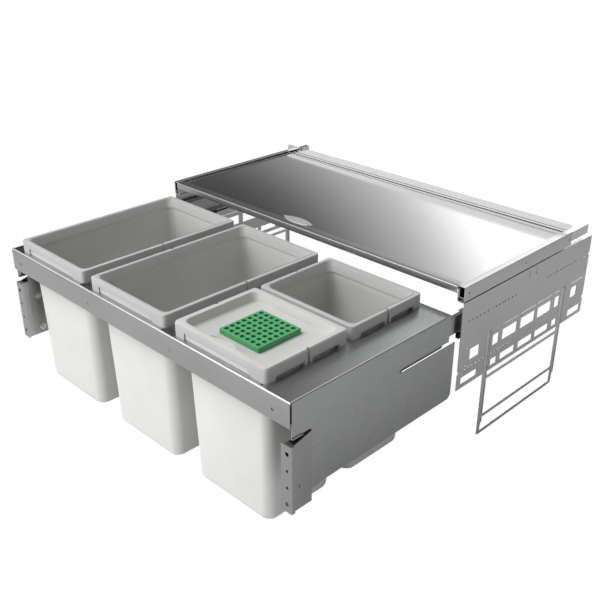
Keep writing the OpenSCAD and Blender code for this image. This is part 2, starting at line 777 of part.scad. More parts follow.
// Screws and washers that clamp the bracket to the carrier
module bracket_screws() {
    color([0.75, 0.75, 0.73]) bracket_screw_axes() {
        difference() {
            translate([0, 0, -washer_t]) cylinder(d = washer_d, h = washer_t);
            translate([0, 0, -washer_t - cut]) cylinder(d = bracket_screw_d, h = washer_t + 2 * cut);
        }
        difference() {
            union() {
                translate([0, 0, -washer_t - screw_head_h]) cylinder(d = screw_head_d, h = screw_head_h);
                translate([0, 0, -washer_t])
                    cylinder(d = bracket_screw_d, h = washer_t + sheet_t + bracket_t);
                translate([0, 0, sheet_t + bracket_t]) cylinder(d = screw_head_d, h = screw_head_h);
            }
            translate([0, 0, -washer_t - screw_head_h - cut])
                cylinder(d = screw_head_d / 2, h = screw_head_h, $fn = 6);
        }
    }
}

// Bins. Each is drawn about the centre of its rim, with z = 0 on the drawer's top

module bin_layer(w, d, r, inset, z) {
    translate([0, 0, z]) linear_extrude(touch_gap) centred_rect(w, d, r, inset);
}

// Tapered shell form with a rounded foot; skin is how much smaller it is than the bin's outside
module bin_form(w, d, skin, top_z) {
    foot = foot_r - skin / 2;
    r = body_r - skin;
    low = body_inset + draft + skin;
    hull() {
        bin_layer(w, d, r, body_inset + skin, top_z - touch_gap);
        bin_layer(w, d, r, low, body_floor_z + skin + foot);
        bin_layer(w, d, r - 0.3 * foot, low + 0.3 * foot, body_floor_z + skin + 0.3 * foot);
        bin_layer(w, d, r - foot, low + foot, body_floor_z + skin);
    }
}

module bin_body(w, d) {
    color([0.86, 0.86, 0.85]) difference() {
        union() {
            bin_form(w, d, 0, bin_lip_z);
            // Rolled edge that rests on the drawer's top, inside the rim frame
            difference() {
                linear_extrude(bin_lip_z) centred_rect(w, d, rim_r - lip_inset, lip_inset);
                translate([0, 0, -cut]) linear_extrude(bin_lip_z - bin_lip_t + cut)
                    centred_rect(w, d, rim_r - lip_inset - bin_wall, lip_inset + bin_wall);
            }
        }
        bin_form(w, d, bin_wall, bin_lip_z + 2 * cut);
    }
}

module rim_frame(w, d, front_grip) {
    color([0.68, 0.68, 0.67]) difference() {
        hull() {
            linear_extrude(rim_h - rim_round) centred_rect(w, d, rim_r, 0);
            linear_extrude(rim_h - 0.3 * rim_round)
                centred_rect(w, d, rim_r - 0.3 * rim_round, 0.3 * rim_round);
            linear_extrude(rim_h) centred_rect(w, d, rim_r - rim_round, rim_round);
        }
        // Hollow for the bin's rolled edge, around the inner skirt
        difference() {
            translate([0, 0, -cut])
                linear_extrude(rim_h - rim_wall + cut) centred_rect(w, d, rim_r - rim_wall, rim_wall);
            translate([0, 0, rim_h - mouth_drop])
                linear_extrude(mouth_drop) centred_rect(w, d, mouth_r, mouth_inset);
        }
        translate([0, 0, -cut])
            linear_extrude(rim_h + 2 * cut) centred_rect(w, d, mouth_r - rim_wall, mouth_inset + rim_wall);
        // Slits in the middle of each side
        for (side = [-1, 1]) {
            translate([side * w / 2, 0, 0]) cube([4 * rim_wall, slit_w, 2 * slit_h], center = true);
            // The skirt stands on the drawer's top only at its corners and beside the slits
            for (end = [-1, 1])
                translate([side * w / 2, end * (d / 4 - recess_inset / 2 + recess_gap / 2), 0])
                    cube([4 * rim_wall, d / 2 - recess_inset - recess_gap, 2 * recess_h], center = true);
        }
        if (front_grip)
            translate([(grip_start_share - 0.5) * w, -d / 2 - cut, -cut])
                cube([(grip_end_share - grip_start_share) * w, 2 * cut + rim_wall, grip_h + cut]);
    }
}

module at_bin(k, y, d) {
    translate([bin_x0 + k * bin_pitch, bin_y0 + y + d / 2, deck_z]) children();
}

// Lid: a shallow pan that hangs in the rim of the front bin, with vents under the filter
module bin_lid() {
    w = bin_w;
    d = small_d;
    floor_z = rim_h - lid_depth;
    color([0.75, 0.75, 0.74]) at_bin(2, 0, d) difference() {
        union() {
            translate([0, 0, rim_h]) linear_extrude(lid_t) centred_rect(w, d, flange_r, flange_inset);
            translate([0, 0, floor_z - lid_t])
                linear_extrude(lid_depth + lid_t + cut) centred_rect(w, d, pan_r, pan_inset);
        }
        difference() {
            translate([0, 0, floor_z])
                linear_extrude(lid_depth + lid_t + 2 * cut)
                    centred_rect(w, d, pan_r - lid_t, pan_inset + lid_t);
            translate([0, pan_inset + lid_t + step_d - step_r - d / 2, floor_z - cut])
                cylinder(r = step_r, h = step_h + cut);
        }
        for (k = [-2 : 2])
            translate([k * filter_w / 7, 0, floor_z - lid_t / 2])
                cube([filter_w / 20, filter_w / 2, 4 * lid_t], center = true);
    }
}

// Odour filter: a square carbon pad with round holes
module odour_filter() {
    pitch = filter_w / (filter_n + 0.4);
    color([0.13, 0.6, 0.3]) at_bin(2, 0, small_d)
        translate([0, 0, rim_h - lid_depth]) difference() {
            linear_extrude(filter_t) centred_rect(filter_w, filter_w, filter_w / 25, 0);
            for (i = [0 : filter_n - 1], j = [0 : filter_n - 1])
                translate([(i - (filter_n - 1) / 2) * pitch, (j - (filter_n - 1) / 2) * pitch, -cut])
                    cylinder(d = filter_hole_d, h = filter_t + 2 * cut, $fn = 24);
        }
}

place() on_side(-1) side_plate();  // side_plate_left
place() side_plate();  // side_plate_right
place() on_side(-1) support_frame();  // support_frame_left
place() support_frame();  // support_frame_right
place() on_side(-1) runner_hooks();  // runner_hooks_left
place() runner_hooks();  // runner_hooks_right
place() on_side(-1) tray_runner();  // tray_runner_left
place() tray_runner();  // tray_runner_right
place() on_side(-1) tray_rail();  // tray_rail_left
place() tray_rail();  // tray_rail_right
place() tray_sheet();
place() tray_badge();
place() tray_rivets();
place() on_side(-1) slide_bracket();  // slide_bracket_left
place() slide_bracket();  // slide_bracket_right
place() on_side(-1) cabinet_slide();  // cabinet_slide_left
place() cabinet_slide();  // cabinet_slide_right
place() on_side(-1) soft_close_damper();  // soft_close_damper_left
place() soft_close_damper();  // soft_close_damper_right
place() on_side(-1) ball_cage(outer_cage_y, outer_cage_x, outer_ball_v);  // outer_ball_cage_left
place() ball_cage(outer_cage_y, outer_cage_x, outer_ball_v);  // outer_ball_cage_right
place() on_side(-1) middle_slide();  // middle_slide_left
place() middle_slide();  // middle_slide_right
place() on_side(-1) ball_cage(inner_cage_y, inner_cage_x, inner_ball_v);  // inner_ball_cage_left
place() ball_cage(inner_cage_y, inner_cage_x, inner_ball_v);  // inner_ball_cage_right
place() on_side(-1) drawer_slide();  // drawer_slide_left
place() drawer_slide();  // drawer_slide_right
place() on_side(-1) slide_carrier();  // slide_carrier_left
place() slide_carrier();  // slide_carrier_right
place() side_panel_left();
place() side_panel_right();
place() front_rail();
place() cross_bar(0);  // cross_bar_left
place() cross_bar(1);  // cross_bar_right
place() rear_beam();
place() on_side(-1) front_bracket();  // front_bracket_left
place() front_bracket();  // front_bracket_right
place() on_side(-1) bracket_screws();  // bracket_screws_left
place() bracket_screws();  // bracket_screws_right
place() at_bin(0, 0, bin_d) bin_body(bin_w, bin_d);  // large_bin_left
place() at_bin(1, 0, bin_d) bin_body(bin_w, bin_d);  // large_bin_middle
place() at_bin(2, 0, small_d) bin_body(bin_w, small_d);  // small_bin_front
place() at_bin(2, small_d + small_gap, small_d) bin_body(bin_w, small_d);  // small_bin_back
place() at_bin(0, 0, bin_d) rim_frame(bin_w, bin_d, true);  // large_rim_left
place() at_bin(1, 0, bin_d) rim_frame(bin_w, bin_d, true);  // large_rim_middle
place() at_bin(2, 0, small_d) rim_frame(bin_w, small_d, true);  // small_rim_front
place() at_bin(2, small_d + small_gap, small_d) rim_frame(bin_w, small_d, false);  // small_rim_back
place() bin_lid();
place() odour_filter();
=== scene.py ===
# Looks for the pull out waste bin drawer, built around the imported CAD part.
import json
import math

import bmesh
import bpy
from mathutils import Matrix, Vector


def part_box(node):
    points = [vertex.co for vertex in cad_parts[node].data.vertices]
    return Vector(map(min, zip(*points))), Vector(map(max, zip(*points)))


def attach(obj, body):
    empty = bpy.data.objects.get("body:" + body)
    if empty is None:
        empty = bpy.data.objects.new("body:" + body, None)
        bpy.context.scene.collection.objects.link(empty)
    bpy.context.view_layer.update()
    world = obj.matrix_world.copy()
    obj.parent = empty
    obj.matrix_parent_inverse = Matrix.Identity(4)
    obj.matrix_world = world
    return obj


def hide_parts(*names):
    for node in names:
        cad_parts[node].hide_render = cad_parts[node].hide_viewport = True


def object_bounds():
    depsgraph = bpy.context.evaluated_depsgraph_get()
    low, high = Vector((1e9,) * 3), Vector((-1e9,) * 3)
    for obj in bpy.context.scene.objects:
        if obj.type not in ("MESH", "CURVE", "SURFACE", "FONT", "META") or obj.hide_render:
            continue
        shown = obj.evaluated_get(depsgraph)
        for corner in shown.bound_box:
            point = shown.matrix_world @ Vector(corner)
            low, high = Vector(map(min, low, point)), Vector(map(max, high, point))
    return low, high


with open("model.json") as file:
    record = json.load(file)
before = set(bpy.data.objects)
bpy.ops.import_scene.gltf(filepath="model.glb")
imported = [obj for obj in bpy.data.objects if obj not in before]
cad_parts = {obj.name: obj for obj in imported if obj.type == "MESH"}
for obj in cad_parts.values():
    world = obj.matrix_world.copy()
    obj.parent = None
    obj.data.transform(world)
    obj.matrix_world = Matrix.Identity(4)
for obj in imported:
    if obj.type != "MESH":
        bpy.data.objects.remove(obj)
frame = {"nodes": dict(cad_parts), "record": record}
cad_low, cad_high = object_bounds()
slots = {part["node"]: part["material_slot"] for part in frame["record"]["subparts"]}
home = {node: body for body, nodes in frame["record"]["behaviour"]["bodies"].items() for node in nodes}


# Camera, floor and light, in metres and degrees

# The camera was found from the photograph's vanishing points
CAMERA_PLACE = (1.2041, -1.2174, 1.0395)
CAMERA_TILT = 63.6
CAMERA_TURN = 45.0
CAMERA_LENS = 50.88
FILM_WIDTH = 36.0

FLOOR_REACH = 30.0
# The floor lies just under the object's feet
FLOOR_DROP = 0.0005
FLOOR_TONE = 0.55
WHITE = (1.0, 1.0, 1.0, 1.0)

SKY_TONE = 0.14
# Azimuth, height, full radius, outer radius and tone of each patch, later ones over earlier ones
SKY_PATCHES = (
    (104.0, 20.0, 8.0, 32.0, 1.1),
    (154.0, 18.0, 12.0, 24.0, 0.03),
    (106.0, 14.0, 12.0, 23.0, 2.2),
    (80.0, 50.0, 12.0, 26.0, 1.2),
    (195.0, 50.0, 13.0, 27.0, 1.7),
    (229.0, 22.0, 14.0, 24.0, 1.15),
    (198.0, 22.0, 9.0, 18.0, 2.0),
)
# Name, place, size and power of each lamp; all aim at the drawer's middle
LAMPS = (
    ("front_light", (0.0, -3.8, 0.6), 1.1, 32.0),
    ("side_light", (3.2, -0.6, 0.5), 1.5, 10.0),
    ("key_light", (-0.9, -1.8, 3.0), 2.0, 84.0),
)
LAMP_AIM = (0.0, 0.0, 0.25)


def set_camera():
    data = bpy.data.cameras.new("photo_camera")
    data.lens = CAMERA_LENS
    data.sensor_width = FILM_WIDTH
    data.clip_end = 2 * FLOOR_REACH
    camera = bpy.data.objects.new("photo_camera", data)
    camera.location = CAMERA_PLACE
    camera.rotation_euler = (math.radians(CAMERA_TILT), 0.0, math.radians(CAMERA_TURN))
    bpy.context.collection.objects.link(camera)
    bpy.context.scene.camera = camera


def grey(tone):
    return (tone, tone, tone)


def node_tree(mat):
    mat.use_nodes = True
    tree = mat.node_tree
    return tree.nodes, tree.links, tree.nodes["Principled BSDF"]


def lay_floor():
    """A pale studio floor: white to the eye, softer in what it throws back on the object."""
    bm = bmesh.new()
    bmesh.ops.create_grid(bm, x_segments=1, y_segments=1, size=FLOOR_REACH)
    bmesh.ops.translate(bm, verts=bm.verts, vec=(0.0, 0.0, -FLOOR_DROP))
    mesh = bpy.data.meshes.new("studio_floor")
    bm.to_mesh(mesh)
    bm.free()
    floor = bpy.data.objects.new("studio_floor", mesh)
    bpy.context.collection.objects.link(floor)
    mat = bpy.data.materials.new("pale floor")
    nodes, links, shader = node_tree(mat)
    shader.inputs["Base Color"].default_value = (*grey(FLOOR_TONE), 1.0)
    shader.inputs["Roughness"].default_value = 0.9
    shader.inputs["Specular IOR Level"].default_value = 0.1
    glow = nodes.new("ShaderNodeEmission")
    path = nodes.new("ShaderNodeLightPath")
    mix = nodes.new("ShaderNodeMixShader")
    links.new(path.outputs["Is Camera Ray"], mix.inputs["Fac"])
    links.new(shader.outputs["BSDF"], mix.inputs[1])
    links.new(glow.outputs["Emission"], mix.inputs[2])
    links.new(mix.outputs["Shader"], nodes["Material Output"].inputs["Surface"])
    mesh.materials.append(mat)


def sky_patch(nodes, links, direction, azimuth, height, inner, outer):
    """A soft round patch of the surroundings: 1 in its middle, 0 outside."""
    turn, rise = math.radians(azimuth), math.radians(height)
    nearness = nodes.new("ShaderNodeVectorMath")
    nearness.operation = "DOT_PRODUCT"
    nearness.inputs[1].default_value = (
        math.cos(turn) * math.cos(rise), math.sin(turn) * math.cos(rise), math.sin(rise))
    links.new(direction, nearness.inputs[0])
    fade = nodes.new("ShaderNodeMapRange")
    fade.interpolation_type = "SMOOTHSTEP"
    fade.inputs["From Min"].default_value = math.cos(math.radians(outer))
    fade.inputs["From Max"].default_value = math.cos(math.radians(inner))
    links.new(nearness.outputs["Value"], fade.inputs["Value"])
    return fade.outputs["Result"]


def paint_sky():
    """A dim sky with bright and dark patches, which the steel mirrors."""
    world = bpy.data.worlds.new("studio")
    bpy.context.scene.world = world
    world.use_nodes = True
    nodes, links = world.node_tree.nodes, world.node_tree.links
    direction = nodes.new("ShaderNodeTexCoord").outputs["Generated"]
    colour = None
    for azimuth, height, inner, outer, tone in SKY_PATCHES:
        mix = nodes.new("ShaderNodeMix")
        mix.data_type = "RGBA"
        links.new(sky_patch(nodes, links, direction, azimuth, height, inner, outer), mix.inputs["Factor"])
        if colour is None:
            mix.inputs["A"].default_value = (*grey(SKY_TONE), 1.0)
        else:
            links.new(colour, mix.inputs["A"])
        mix.inputs["B"].default_value = (*grey(tone), 1.0)
        colour = mix.outputs["Result"]
    # The camera itself sees a plain white backdrop
    path = nodes.new("ShaderNodeLightPath")
    seen = nodes.new("ShaderNodeMix")
    seen.data_type = "RGBA"
    links.new(path.outputs["Is Camera Ray"], seen.inputs["Factor"])
    links.new(colour, seen.inputs["A"])
    seen.inputs["B"].default_value = WHITE
    links.new(seen.outputs["Result"], nodes["Background"].inputs["Color"])


def hang_lamps():
    for name, place, size, power in LAMPS:
        data = bpy.data.lights.new(name, "AREA")
        data.shape = "SQUARE"
        data.size = size
        data.energy = power
        lamp = bpy.data.objects.new(name, data)
        lamp.location = place
        lamp.rotation_euler = (Vector(LAMP_AIM) - Vector(place)).to_track_quat("-Z", "Y").to_euler()
        bpy.context.collection.objects.link(lamp)


set_camera()
lay_floor()
paint_sky()
hang_lamps()
bpy.context.scene.view_settings.view_transform = "Standard"
bpy.context.scene.view_settings.look = "None"


# Effects that the finishes share

# How deep the fine relief of a finish goes, in metres
SKIN_DEPTH = 0.0002
FOAM_DEPTH = 0.0005


def new_effect(name, inputs, outputs):
    """An empty node group with named sockets; inputs are (name, socket type, value)."""
    group = bpy.data.node_groups.new(name, "ShaderNodeTree")
    for label, kind, value in inputs:
        socket = group.interface.new_socket(name=label, in_out="INPUT", socket_type=kind)
        if value is not None:
            socket.default_value = value
    for label in outputs:
        group.interface.new_socket(name=label, in_out="OUTPUT", socket_type="NodeSocketFloat")
    return group, group.nodes.new("NodeGroupInput"), group.nodes.new("NodeGroupOutput")


def noise(tree, vector, scale, detail, rough=0.5):
    node = tree.nodes.new("ShaderNodeTexNoise")
    node.inputs["Scale"].default_value = scale
    node.inputs["Detail"].default_value = detail
    node.inputs["Roughness"].default_value = rough
    tree.links.new(vector, node.inputs["Vector"])
    return node.outputs["Fac"]


def spread(tree, value, source, target=(0.0, 1.0)):
    """Stretches the source range of a value to the target range."""
    node = tree.nodes.new("ShaderNodeMapRange")
    for label, number in zip(("From Min", "From Max", "To Min", "To Max"), (*source, *target)):
        node.inputs[label].default_value = number
    tree.links.new(value, node.inputs["Value"])
    return node.outputs["Result"]


def combine(tree, operation, one, two):
    node = tree.nodes.new("ShaderNodeMath")
    node.operation = operation
    for socket, value in zip(node.inputs, (one, two)):
        if isinstance(value, (int, float)):
            socket.default_value = value
        else:
            tree.links.new(value, socket)
    return node.outputs["Value"]


def sheet_grain_effect():
    """Rolled sheet: fine drawn lines, a faint cloudiness and small pits of the zinc coat."""
    group, given, put = new_effect(
        "sheet grain", (("Vector", "NodeSocketVector", None),), ("Lines", "Cloud", "Pits"))
    plain = group.nodes.new("ShaderNodeTexCoord").outputs["Object"]
    pits = group.nodes.new("ShaderNodeTexVoronoi")
    pits.inputs["Scale"].default_value = 700.0
    group.links.new(plain, pits.inputs["Vector"])
    lines = noise(group, given.outputs["Vector"], scale=420.0, detail=5.0, rough=0.62)
    cloud = noise(group, plain, scale=7.0, detail=3.0)
    group.links.new(spread(group, lines, (0.3, 0.7)), put.inputs["Lines"])
    group.links.new(spread(group, cloud, (0.3, 0.7)), put.inputs["Cloud"])
    group.links.new(spread(group, pits.outputs["Distance"], (0.0, 0.45)), put.inputs["Pits"])
    return group


def moulded_skin_effect():
    """Injection moulded plastic: spark eroded grain, faint flow marks and a little dust of use."""
    group, given, put = new_effect(
        "moulded skin", (("Grain", "NodeSocketFloat", 900.0),), ("Height", "Flow", "Speckle"))
    plain = group.nodes.new("ShaderNodeTexCoord").outputs["Object"]
    fine = group.nodes.new("ShaderNodeTexNoise")
    fine.inputs["Detail"].default_value = 4.0
    fine.inputs["Roughness"].default_value = 0.6
    cells = group.nodes.new("ShaderNodeTexVoronoi")
    cells.feature = "SMOOTH_F1"
    for texture in (fine, cells):
        group.links.new(plain, texture.inputs["Vector"])
        group.links.new(given.outputs["Grain"], texture.inputs["Scale"])
    low_cells = combine(group, "MULTIPLY", cells.outputs["Distance"], 0.5)
    flow = noise(group, plain, scale=9.0, detail=4.0, rough=0.55)
    dust = noise(group, plain, scale=2600.0, detail=1.0)
    group.links.new(combine(group, "ADD", fine.outputs["Fac"], low_cells), put.inputs["Height"])
    group.links.new(spread(group, flow, (0.3, 0.7)), put.inputs["Flow"])
    group.links.new(spread(group, dust, (0.66, 0.8)), put.inputs["Speckle"])
    return group


SHEET_GRAIN = sheet_grain_effect()
MOULDED_SKIN = moulded_skin_effect()


def place_effect(nodes, effect):
    node = nodes.new("ShaderNodeGroup")
    node.node_tree = effect
    return node


def tint(nodes, links, factor, dark, light):
    """Mixes two shades of one colour by a mask."""
    mix = nodes.new("ShaderNodeMix")
    mix.data_type = "RGBA"
    mix.inputs["A"].default_value = (*dark, 1.0)
    mix.inputs["B"].default_value = (*light, 1.0)
    links.new(factor, mix.inputs["Factor"])
    return mix.outputs["Result"]


def shade(colour, factor):
    return tuple(min(1.0, part * factor) for part in colour)


def emboss(nodes, links, shader, height, strength, depth):
    """Turns a height into the surface's fine relief."""
    bump = nodes.new("ShaderNodeBump")
    bump.inputs["Strength"].default_value = strength
    bump.inputs["Distance"].default_value = depth
    links.new(height, bump.inputs["Height"])
    links.new(bump.outputs["Normal"], shader.inputs["Normal"])


# Finishes

def sheet_metal(name, colour, rough, drawn, relief=0.02, cast=0.06):
    """Steel or zinc sheet; drawn stretches its grain along x, y or z, cast varies its tone."""
    mat = bpy.data.materials.new(name)
    nodes, links, shader = node_tree(mat)
    tree = mat.node_tree
    stretch = nodes.new("ShaderNodeMapping")
    stretch.inputs["Scale"].default_value = drawn
    links.new(nodes.new("ShaderNodeTexCoord").outputs["Object"], stretch.inputs["Vector"])
    grain = place_effect(nodes, SHEET_GRAIN)
    links.new(stretch.outputs["Vector"], grain.inputs["Vector"])
    cloud = combine(tree, "MULTIPLY", grain.outputs["Cloud"], 0.6)
    mask = combine(tree, "ADD", cloud, combine(tree, "MULTIPLY", grain.outputs["Lines"], 0.4))
    tone = tint(nodes, links, mask, shade(colour, 1.0 - cast), shade(colour, 1.0 + cast))
    links.new(tone, shader.inputs["Base Color"])
    gloss = spread(tree, grain.outputs["Lines"], (0.0, 1.0), (rough - 0.015, rough + 0.02))
    links.new(gloss, shader.inputs["Roughness"])
    shader.inputs["Metallic"].default_value = 1.0
    pits = combine(tree, "MULTIPLY", grain.outputs["Pits"], 0.4)
    emboss(nodes, links, shader, combine(tree, "ADD", grain.outputs["Lines"], pits), relief, SKIN_DEPTH)
    return mat


def moulded_plastic(name, colour, rough, grain, relief=0.12):
    """Moulded plastic with a fine grain."""
    mat = bpy.data.materials.new(name)
    nodes, links, shader = node_tree(mat)
    tree = mat.node_tree
    skin = place_effect(nodes, MOULDED_SKIN)
    skin.inputs["Grain"].default_value = grain
    dust = combine(tree, "MULTIPLY", skin.outputs["Speckle"], 0.5)
    mask = combine(tree, "SUBTRACT", skin.outputs["Flow"], dust)
    links.new(tint(nodes, links, mask, shade(colour, 0.96), shade(colour, 1.03)), shader.inputs["Base Color"])
    gloss = spread(tree, skin.outputs["Flow"], (0.0, 1.0), (rough - 0.05, rough + 0.05))
    links.new(gloss, shader.inputs["Roughness"])
    shader.inputs["Specular IOR Level"].default_value = 0.35
    emboss(nodes, links, shader, skin.outputs["Height"], relief, SKIN_DEPTH)
    return mat


def filter_foam(name, dark, light):
    """Green foam with black carbon grains: fibres and open cells."""
    mat = bpy.data.materials.new(name)
    nodes, links, shader = node_tree(mat)
    tree = mat.node_tree
    place = nodes.new("ShaderNodeTexCoord").outputs["Object"]
    fibres = noise(tree, place, scale=420.0, detail=6.0, rough=0.7)
    cells = nodes.new("ShaderNodeTexVoronoi")
    cells.inputs["Scale"].default_value = 800.0
    links.new(place, cells.inputs["Vector"])
    flecks = spread(tree, noise(tree, place, scale=1500.0, detail=1.0), (0.68, 0.74), (0.0, 0.6))
    mix = nodes.new("ShaderNodeMix")
    mix.data_type = "RGBA"
    links.new(flecks, mix.inputs["Factor"])
    links.new(tint(nodes, links, spread(tree, fibres, (0.35, 0.65)), dark, light), mix.inputs["A"])
    mix.inputs["B"].default_value = (0.02, 0.06, 0.03, 1.0)
    links.new(mix.outputs["Result"], shader.inputs["Base Color"])
    links.new(spread(tree, fibres, (0.3, 0.7), (0.75, 0.95)), shader.inputs["Roughness"])
    shader.inputs["Specular IOR Level"].default_value = 0.08
    emboss(nodes, links, shader, combine(tree, "ADD", fibres, cells.outputs["Distance"]), 0.5, FOAM_DEPTH)
    return mat


# One finish for each slot of the record
FINISHES = {
    "plate_steel": sheet_metal(
        "silver coated steel", grey(0.70), 0.38, (1.0, 0.5, 1.0), relief=0.006, cast=0.04),
    "panel_steel": sheet_metal(
        "brushed panel steel", (0.47, 0.48, 0.48), 0.28, (1.0, 0.05, 1.0), relief=0.002, cast=0.03),
    "tray_steel": sheet_metal(
        "brushed tray steel", grey(0.74), 0.14, (0.03, 1.0, 1.0), relief=0.002, cast=0.02),
    "zinc_steel": sheet_metal("bright zinc plate", (0.48, 0.48, 0.47), 0.30, (1.0, 0.4, 1.0)),
    "cage_steel": sheet_metal("dark cage steel", grey(0.36), 0.38, (1.0, 1.0, 1.0)),
    "badge_metal": sheet_metal(
        "polished badge metal", (0.88, 0.89, 0.88), 0.46, (0.1, 1.0, 1.0), relief=0.01),
    "black_plastic": moulded_plastic("black damper plastic", grey(0.012), 0.42, 1100.0),
    "bin_plastic": moulded_plastic("off white bin plastic", (0.79, 0.79, 0.77), 0.48, 900.0),
    "rim_plastic": moulded_plastic("light grey rim plastic", (0.49, 0.49, 0.485), 0.40, 1000.0),
    "lid_plastic": moulded_plastic("light grey lid plastic", (0.56, 0.56, 0.55), 0.44, 1000.0),
    "filter_pad": filter_foam("green carbon foam", (0.05, 0.28, 0.10), (0.15, 0.44, 0.22)),
}
# Finishes of single pieces that differ from their slot's
# A darker grey copy of the bin plastic: painted shade inside the bins and on the lip under the rims
BIN_INSIDE_SHADE = moulded_plastic("bin plastic in painted shade", (0.61, 0.61, 0.60), 0.5, 900.0)
# A darker copy of the silver coated steel: painted shade on the front rail's face and on the tray's folded
# lip
SHADED_RAIL_STEEL = sheet_metal("silver coated rail in painted shade", grey(0.46), 0.36, (0.5, 1.0, 1.0), relief=0.01)
BRACKET_STEEL = sheet_metal(
    "bracket steel", grey(0.44), 0.34, (1.0, 1.0, 0.4), relief=0.006, cast=0.04)
SUPPORT_STEEL = sheet_metal(
    "bright support steel", grey(0.82), 0.38, (1.0, 1.0, 0.5), relief=0.006, cast=0.04)
# Near-black steel that stands in for shade: painted shade in the support seams, the side plates' channels and
# the tray's creases
SHADE_LINE_STEEL = sheet_metal("painted shade line", grey(0.12), 0.45, (1.0, 1.0, 1.0))
# Nodes with their CAD mesh that differ from their slot's too, by the start of their name
NODE_FINISHES = {
    "tray_runner": sheet_metal("bright runner steel", grey(0.80), 0.16, (1.0, 0.1, 1.0), relief=0.004),
    "slide_carrier": BRACKET_STEEL,
    "bracket_screws": sheet_metal(
        "bright screw steel", (0.82, 0.82, 0.80), 0.26, (1.0, 1.0, 1.0), relief=0.01),
}

for node, obj in frame["nodes"].items():
    own = [finish for start, finish in NODE_FINISHES.items() if node.startswith(start)]
    obj.data.materials.clear()
    obj.data.materials.append(own[0] if own else FINISHES[slots[node]])


# Shaping helpers: sizes in millimetres, y counted from the drawer's front face

MM = 0.001
FRONT = cad_low[1]
# In metres: things this close to each other touch, and a point this close to a cut lies on it
TOUCH = 1e-6
CUT = 1e-7
AXES = (Vector((1.0, 0.0, 0.0)), Vector((0.0, 1.0, 0.0)), Vector((0.0, 0.0, 1.0)))
X, Y, Z = range(3)
# Points of each rounded corner of a bin, and straight cuts for each rounded corner of the tray
CORNER_POINTS = 7
CORNER_CUTS = 4
SIDES = (-1, 1)


def at(x, y, z):
    return Vector((x * MM, FRONT + y * MM, z * MM))


def span(x_ends, y_ends, z_ends):
    """The low and high corner of a box, its ends given in any order."""
    ends = (x_ends, y_ends, z_ends)
    return at(*(min(pair) for pair in ends)), at(*(max(pair) for pair in ends))


def sided(name, side):
    return name + ("_right" if side > 0 else "_left")


def node_box(node):
    """A node's low and high corner in millimetres."""
    low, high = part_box(node)
    return ([low[X] / MM, (low[Y] - FRONT) / MM, low[Z] / MM],
            [high[X] / MM, (high[Y] - FRONT) / MM, high[Z] / MM])


def plan(low, high):
    """Middle and size of a box, seen from above."""
    return ((low[X] + high[X]) / 2, (low[Y] + high[Y]) / 2), (high[X] - low[X], high[Y] - low[Y])


def edges_of(verts):
    """Each edge of these points once, in a steady order."""
    return list(dict.fromkeys(e for v in verts for e in v.link_edges))


def points_of(geom):
    return [g for g in geom if isinstance(g, bmesh.types.BMVert)]


def loft(bm, centre, size, sections, cap=False):
    """Carries an outline up through level sections: (inset, corner, z) of a rounded rectangle."""
    loop = bmesh.ops.create_circle(bm, cap_ends=False, segments=4 * CORNER_POINTS, radius=1.0)["verts"]
    edges = edges_of(loop)
    for level, (inset, corner, z) in enumerate(sections):
        if level:
            made = bmesh.ops.extrude_edge_only(bm, edges=edges)["geom"]
            fresh = {tuple(v.co): v for v in points_of(made)}
            loop = [fresh[tuple(v.co)] for v in loop]
            edges = [g for g in made
                     if isinstance(g, bmesh.types.BMEdge) and all(v in loop for v in g.verts)]
        for number, v in enumerate(loop):
            quarter, step = divmod(number, CORNER_POINTS)
            turn = math.radians(90.0 * (quarter + step / (CORNER_POINTS - 1)))
            right = 1 if quarter in (0, 3) else -1
            back = 1 if quarter in (0, 1) else -1
            v.co = at(centre[0] + right * (size[0] / 2 - inset - corner) + corner * math.cos(turn),
                      centre[1] + back * (size[1] / 2 - inset - corner) + corner * math.sin(turn), z)
    if cap:
        bmesh.ops.edgeloop_fill(bm, edges=edges)


def touching(bm, low, high):
    """The faces that reach into a box."""
    found = []
    for f in bm.faces:
        reach = [[v.co[k] for v in f.verts] for k in (X, Y, Z)]
        if all(max(reach[k]) >= low[k] - TOUCH and min(reach[k]) <= high[k] + TOUCH for k in (X, Y, Z)):
            found.append(f)
    return found


def within(bm, low, high):
    """The faces whose middle lies in a box."""
    return [f for f in bm.faces
            if all(low[k] - TOUCH < f.calc_center_median()[k] < high[k] + TOUCH for k in (X, Y, Z))]


def slice_faces(bm, faces, point, normal):
    geom = set(faces)
    for f in faces:
        geom.update(f.edges)
        geom.update(f.verts)
    bmesh.ops.bisect_plane(bm, geom=list(geom), dist=CUT, plane_co=point, plane_no=normal)


def score(bm, low, high, directions):
    """Cuts lines into the sheet where a box's sides pass through it."""
    for k in directions:
        for value in (low[k], high[k]):
            slice_faces(bm, touching(bm, low, high), AXES[k] * value, AXES[k])


def cut_window(bm, low, high):
    """Opens the sheet inside a box."""
    score(bm, low, high, (X, Y, Z))
    bmesh.ops.delete(bm, geom=within(bm, low, high), context="FACES")


def cut_slope(bm, low, high, point, normal):
    """Opens the part of the sheet inside a box that lies beyond a slanting line."""
    slice_faces(bm, touching(bm, low, high), point, normal)
    beyond = [f for f in within(bm, low, high) if (f.calc_center_median() - point).dot(normal) > 0]
    bmesh.ops.delete(bm, geom=beyond, context="FACES")


def round_corner(bm, corner, side, along, radius):
    """Rounds the corner between a sheet's side and its edge; along points out over that edge."""
    across = Vector((side, 0.0, 0.0))
    reach = Vector([(radius + 1.0) * MM if k == X or along[k] else MM for k in (X, Y, Z)])
    middle = corner - (across + along) * radius * MM
    for step in range(1, CORNER_CUTS + 1):
        turn = math.radians(90.0 * step / (CORNER_CUTS + 1))
        normal = across * math.sin(turn) + along * math.cos(turn)
        cut_slope(bm, corner - reach, corner + Vector((reach.x, MM, MM)),
                  middle + normal * radius * MM, normal)


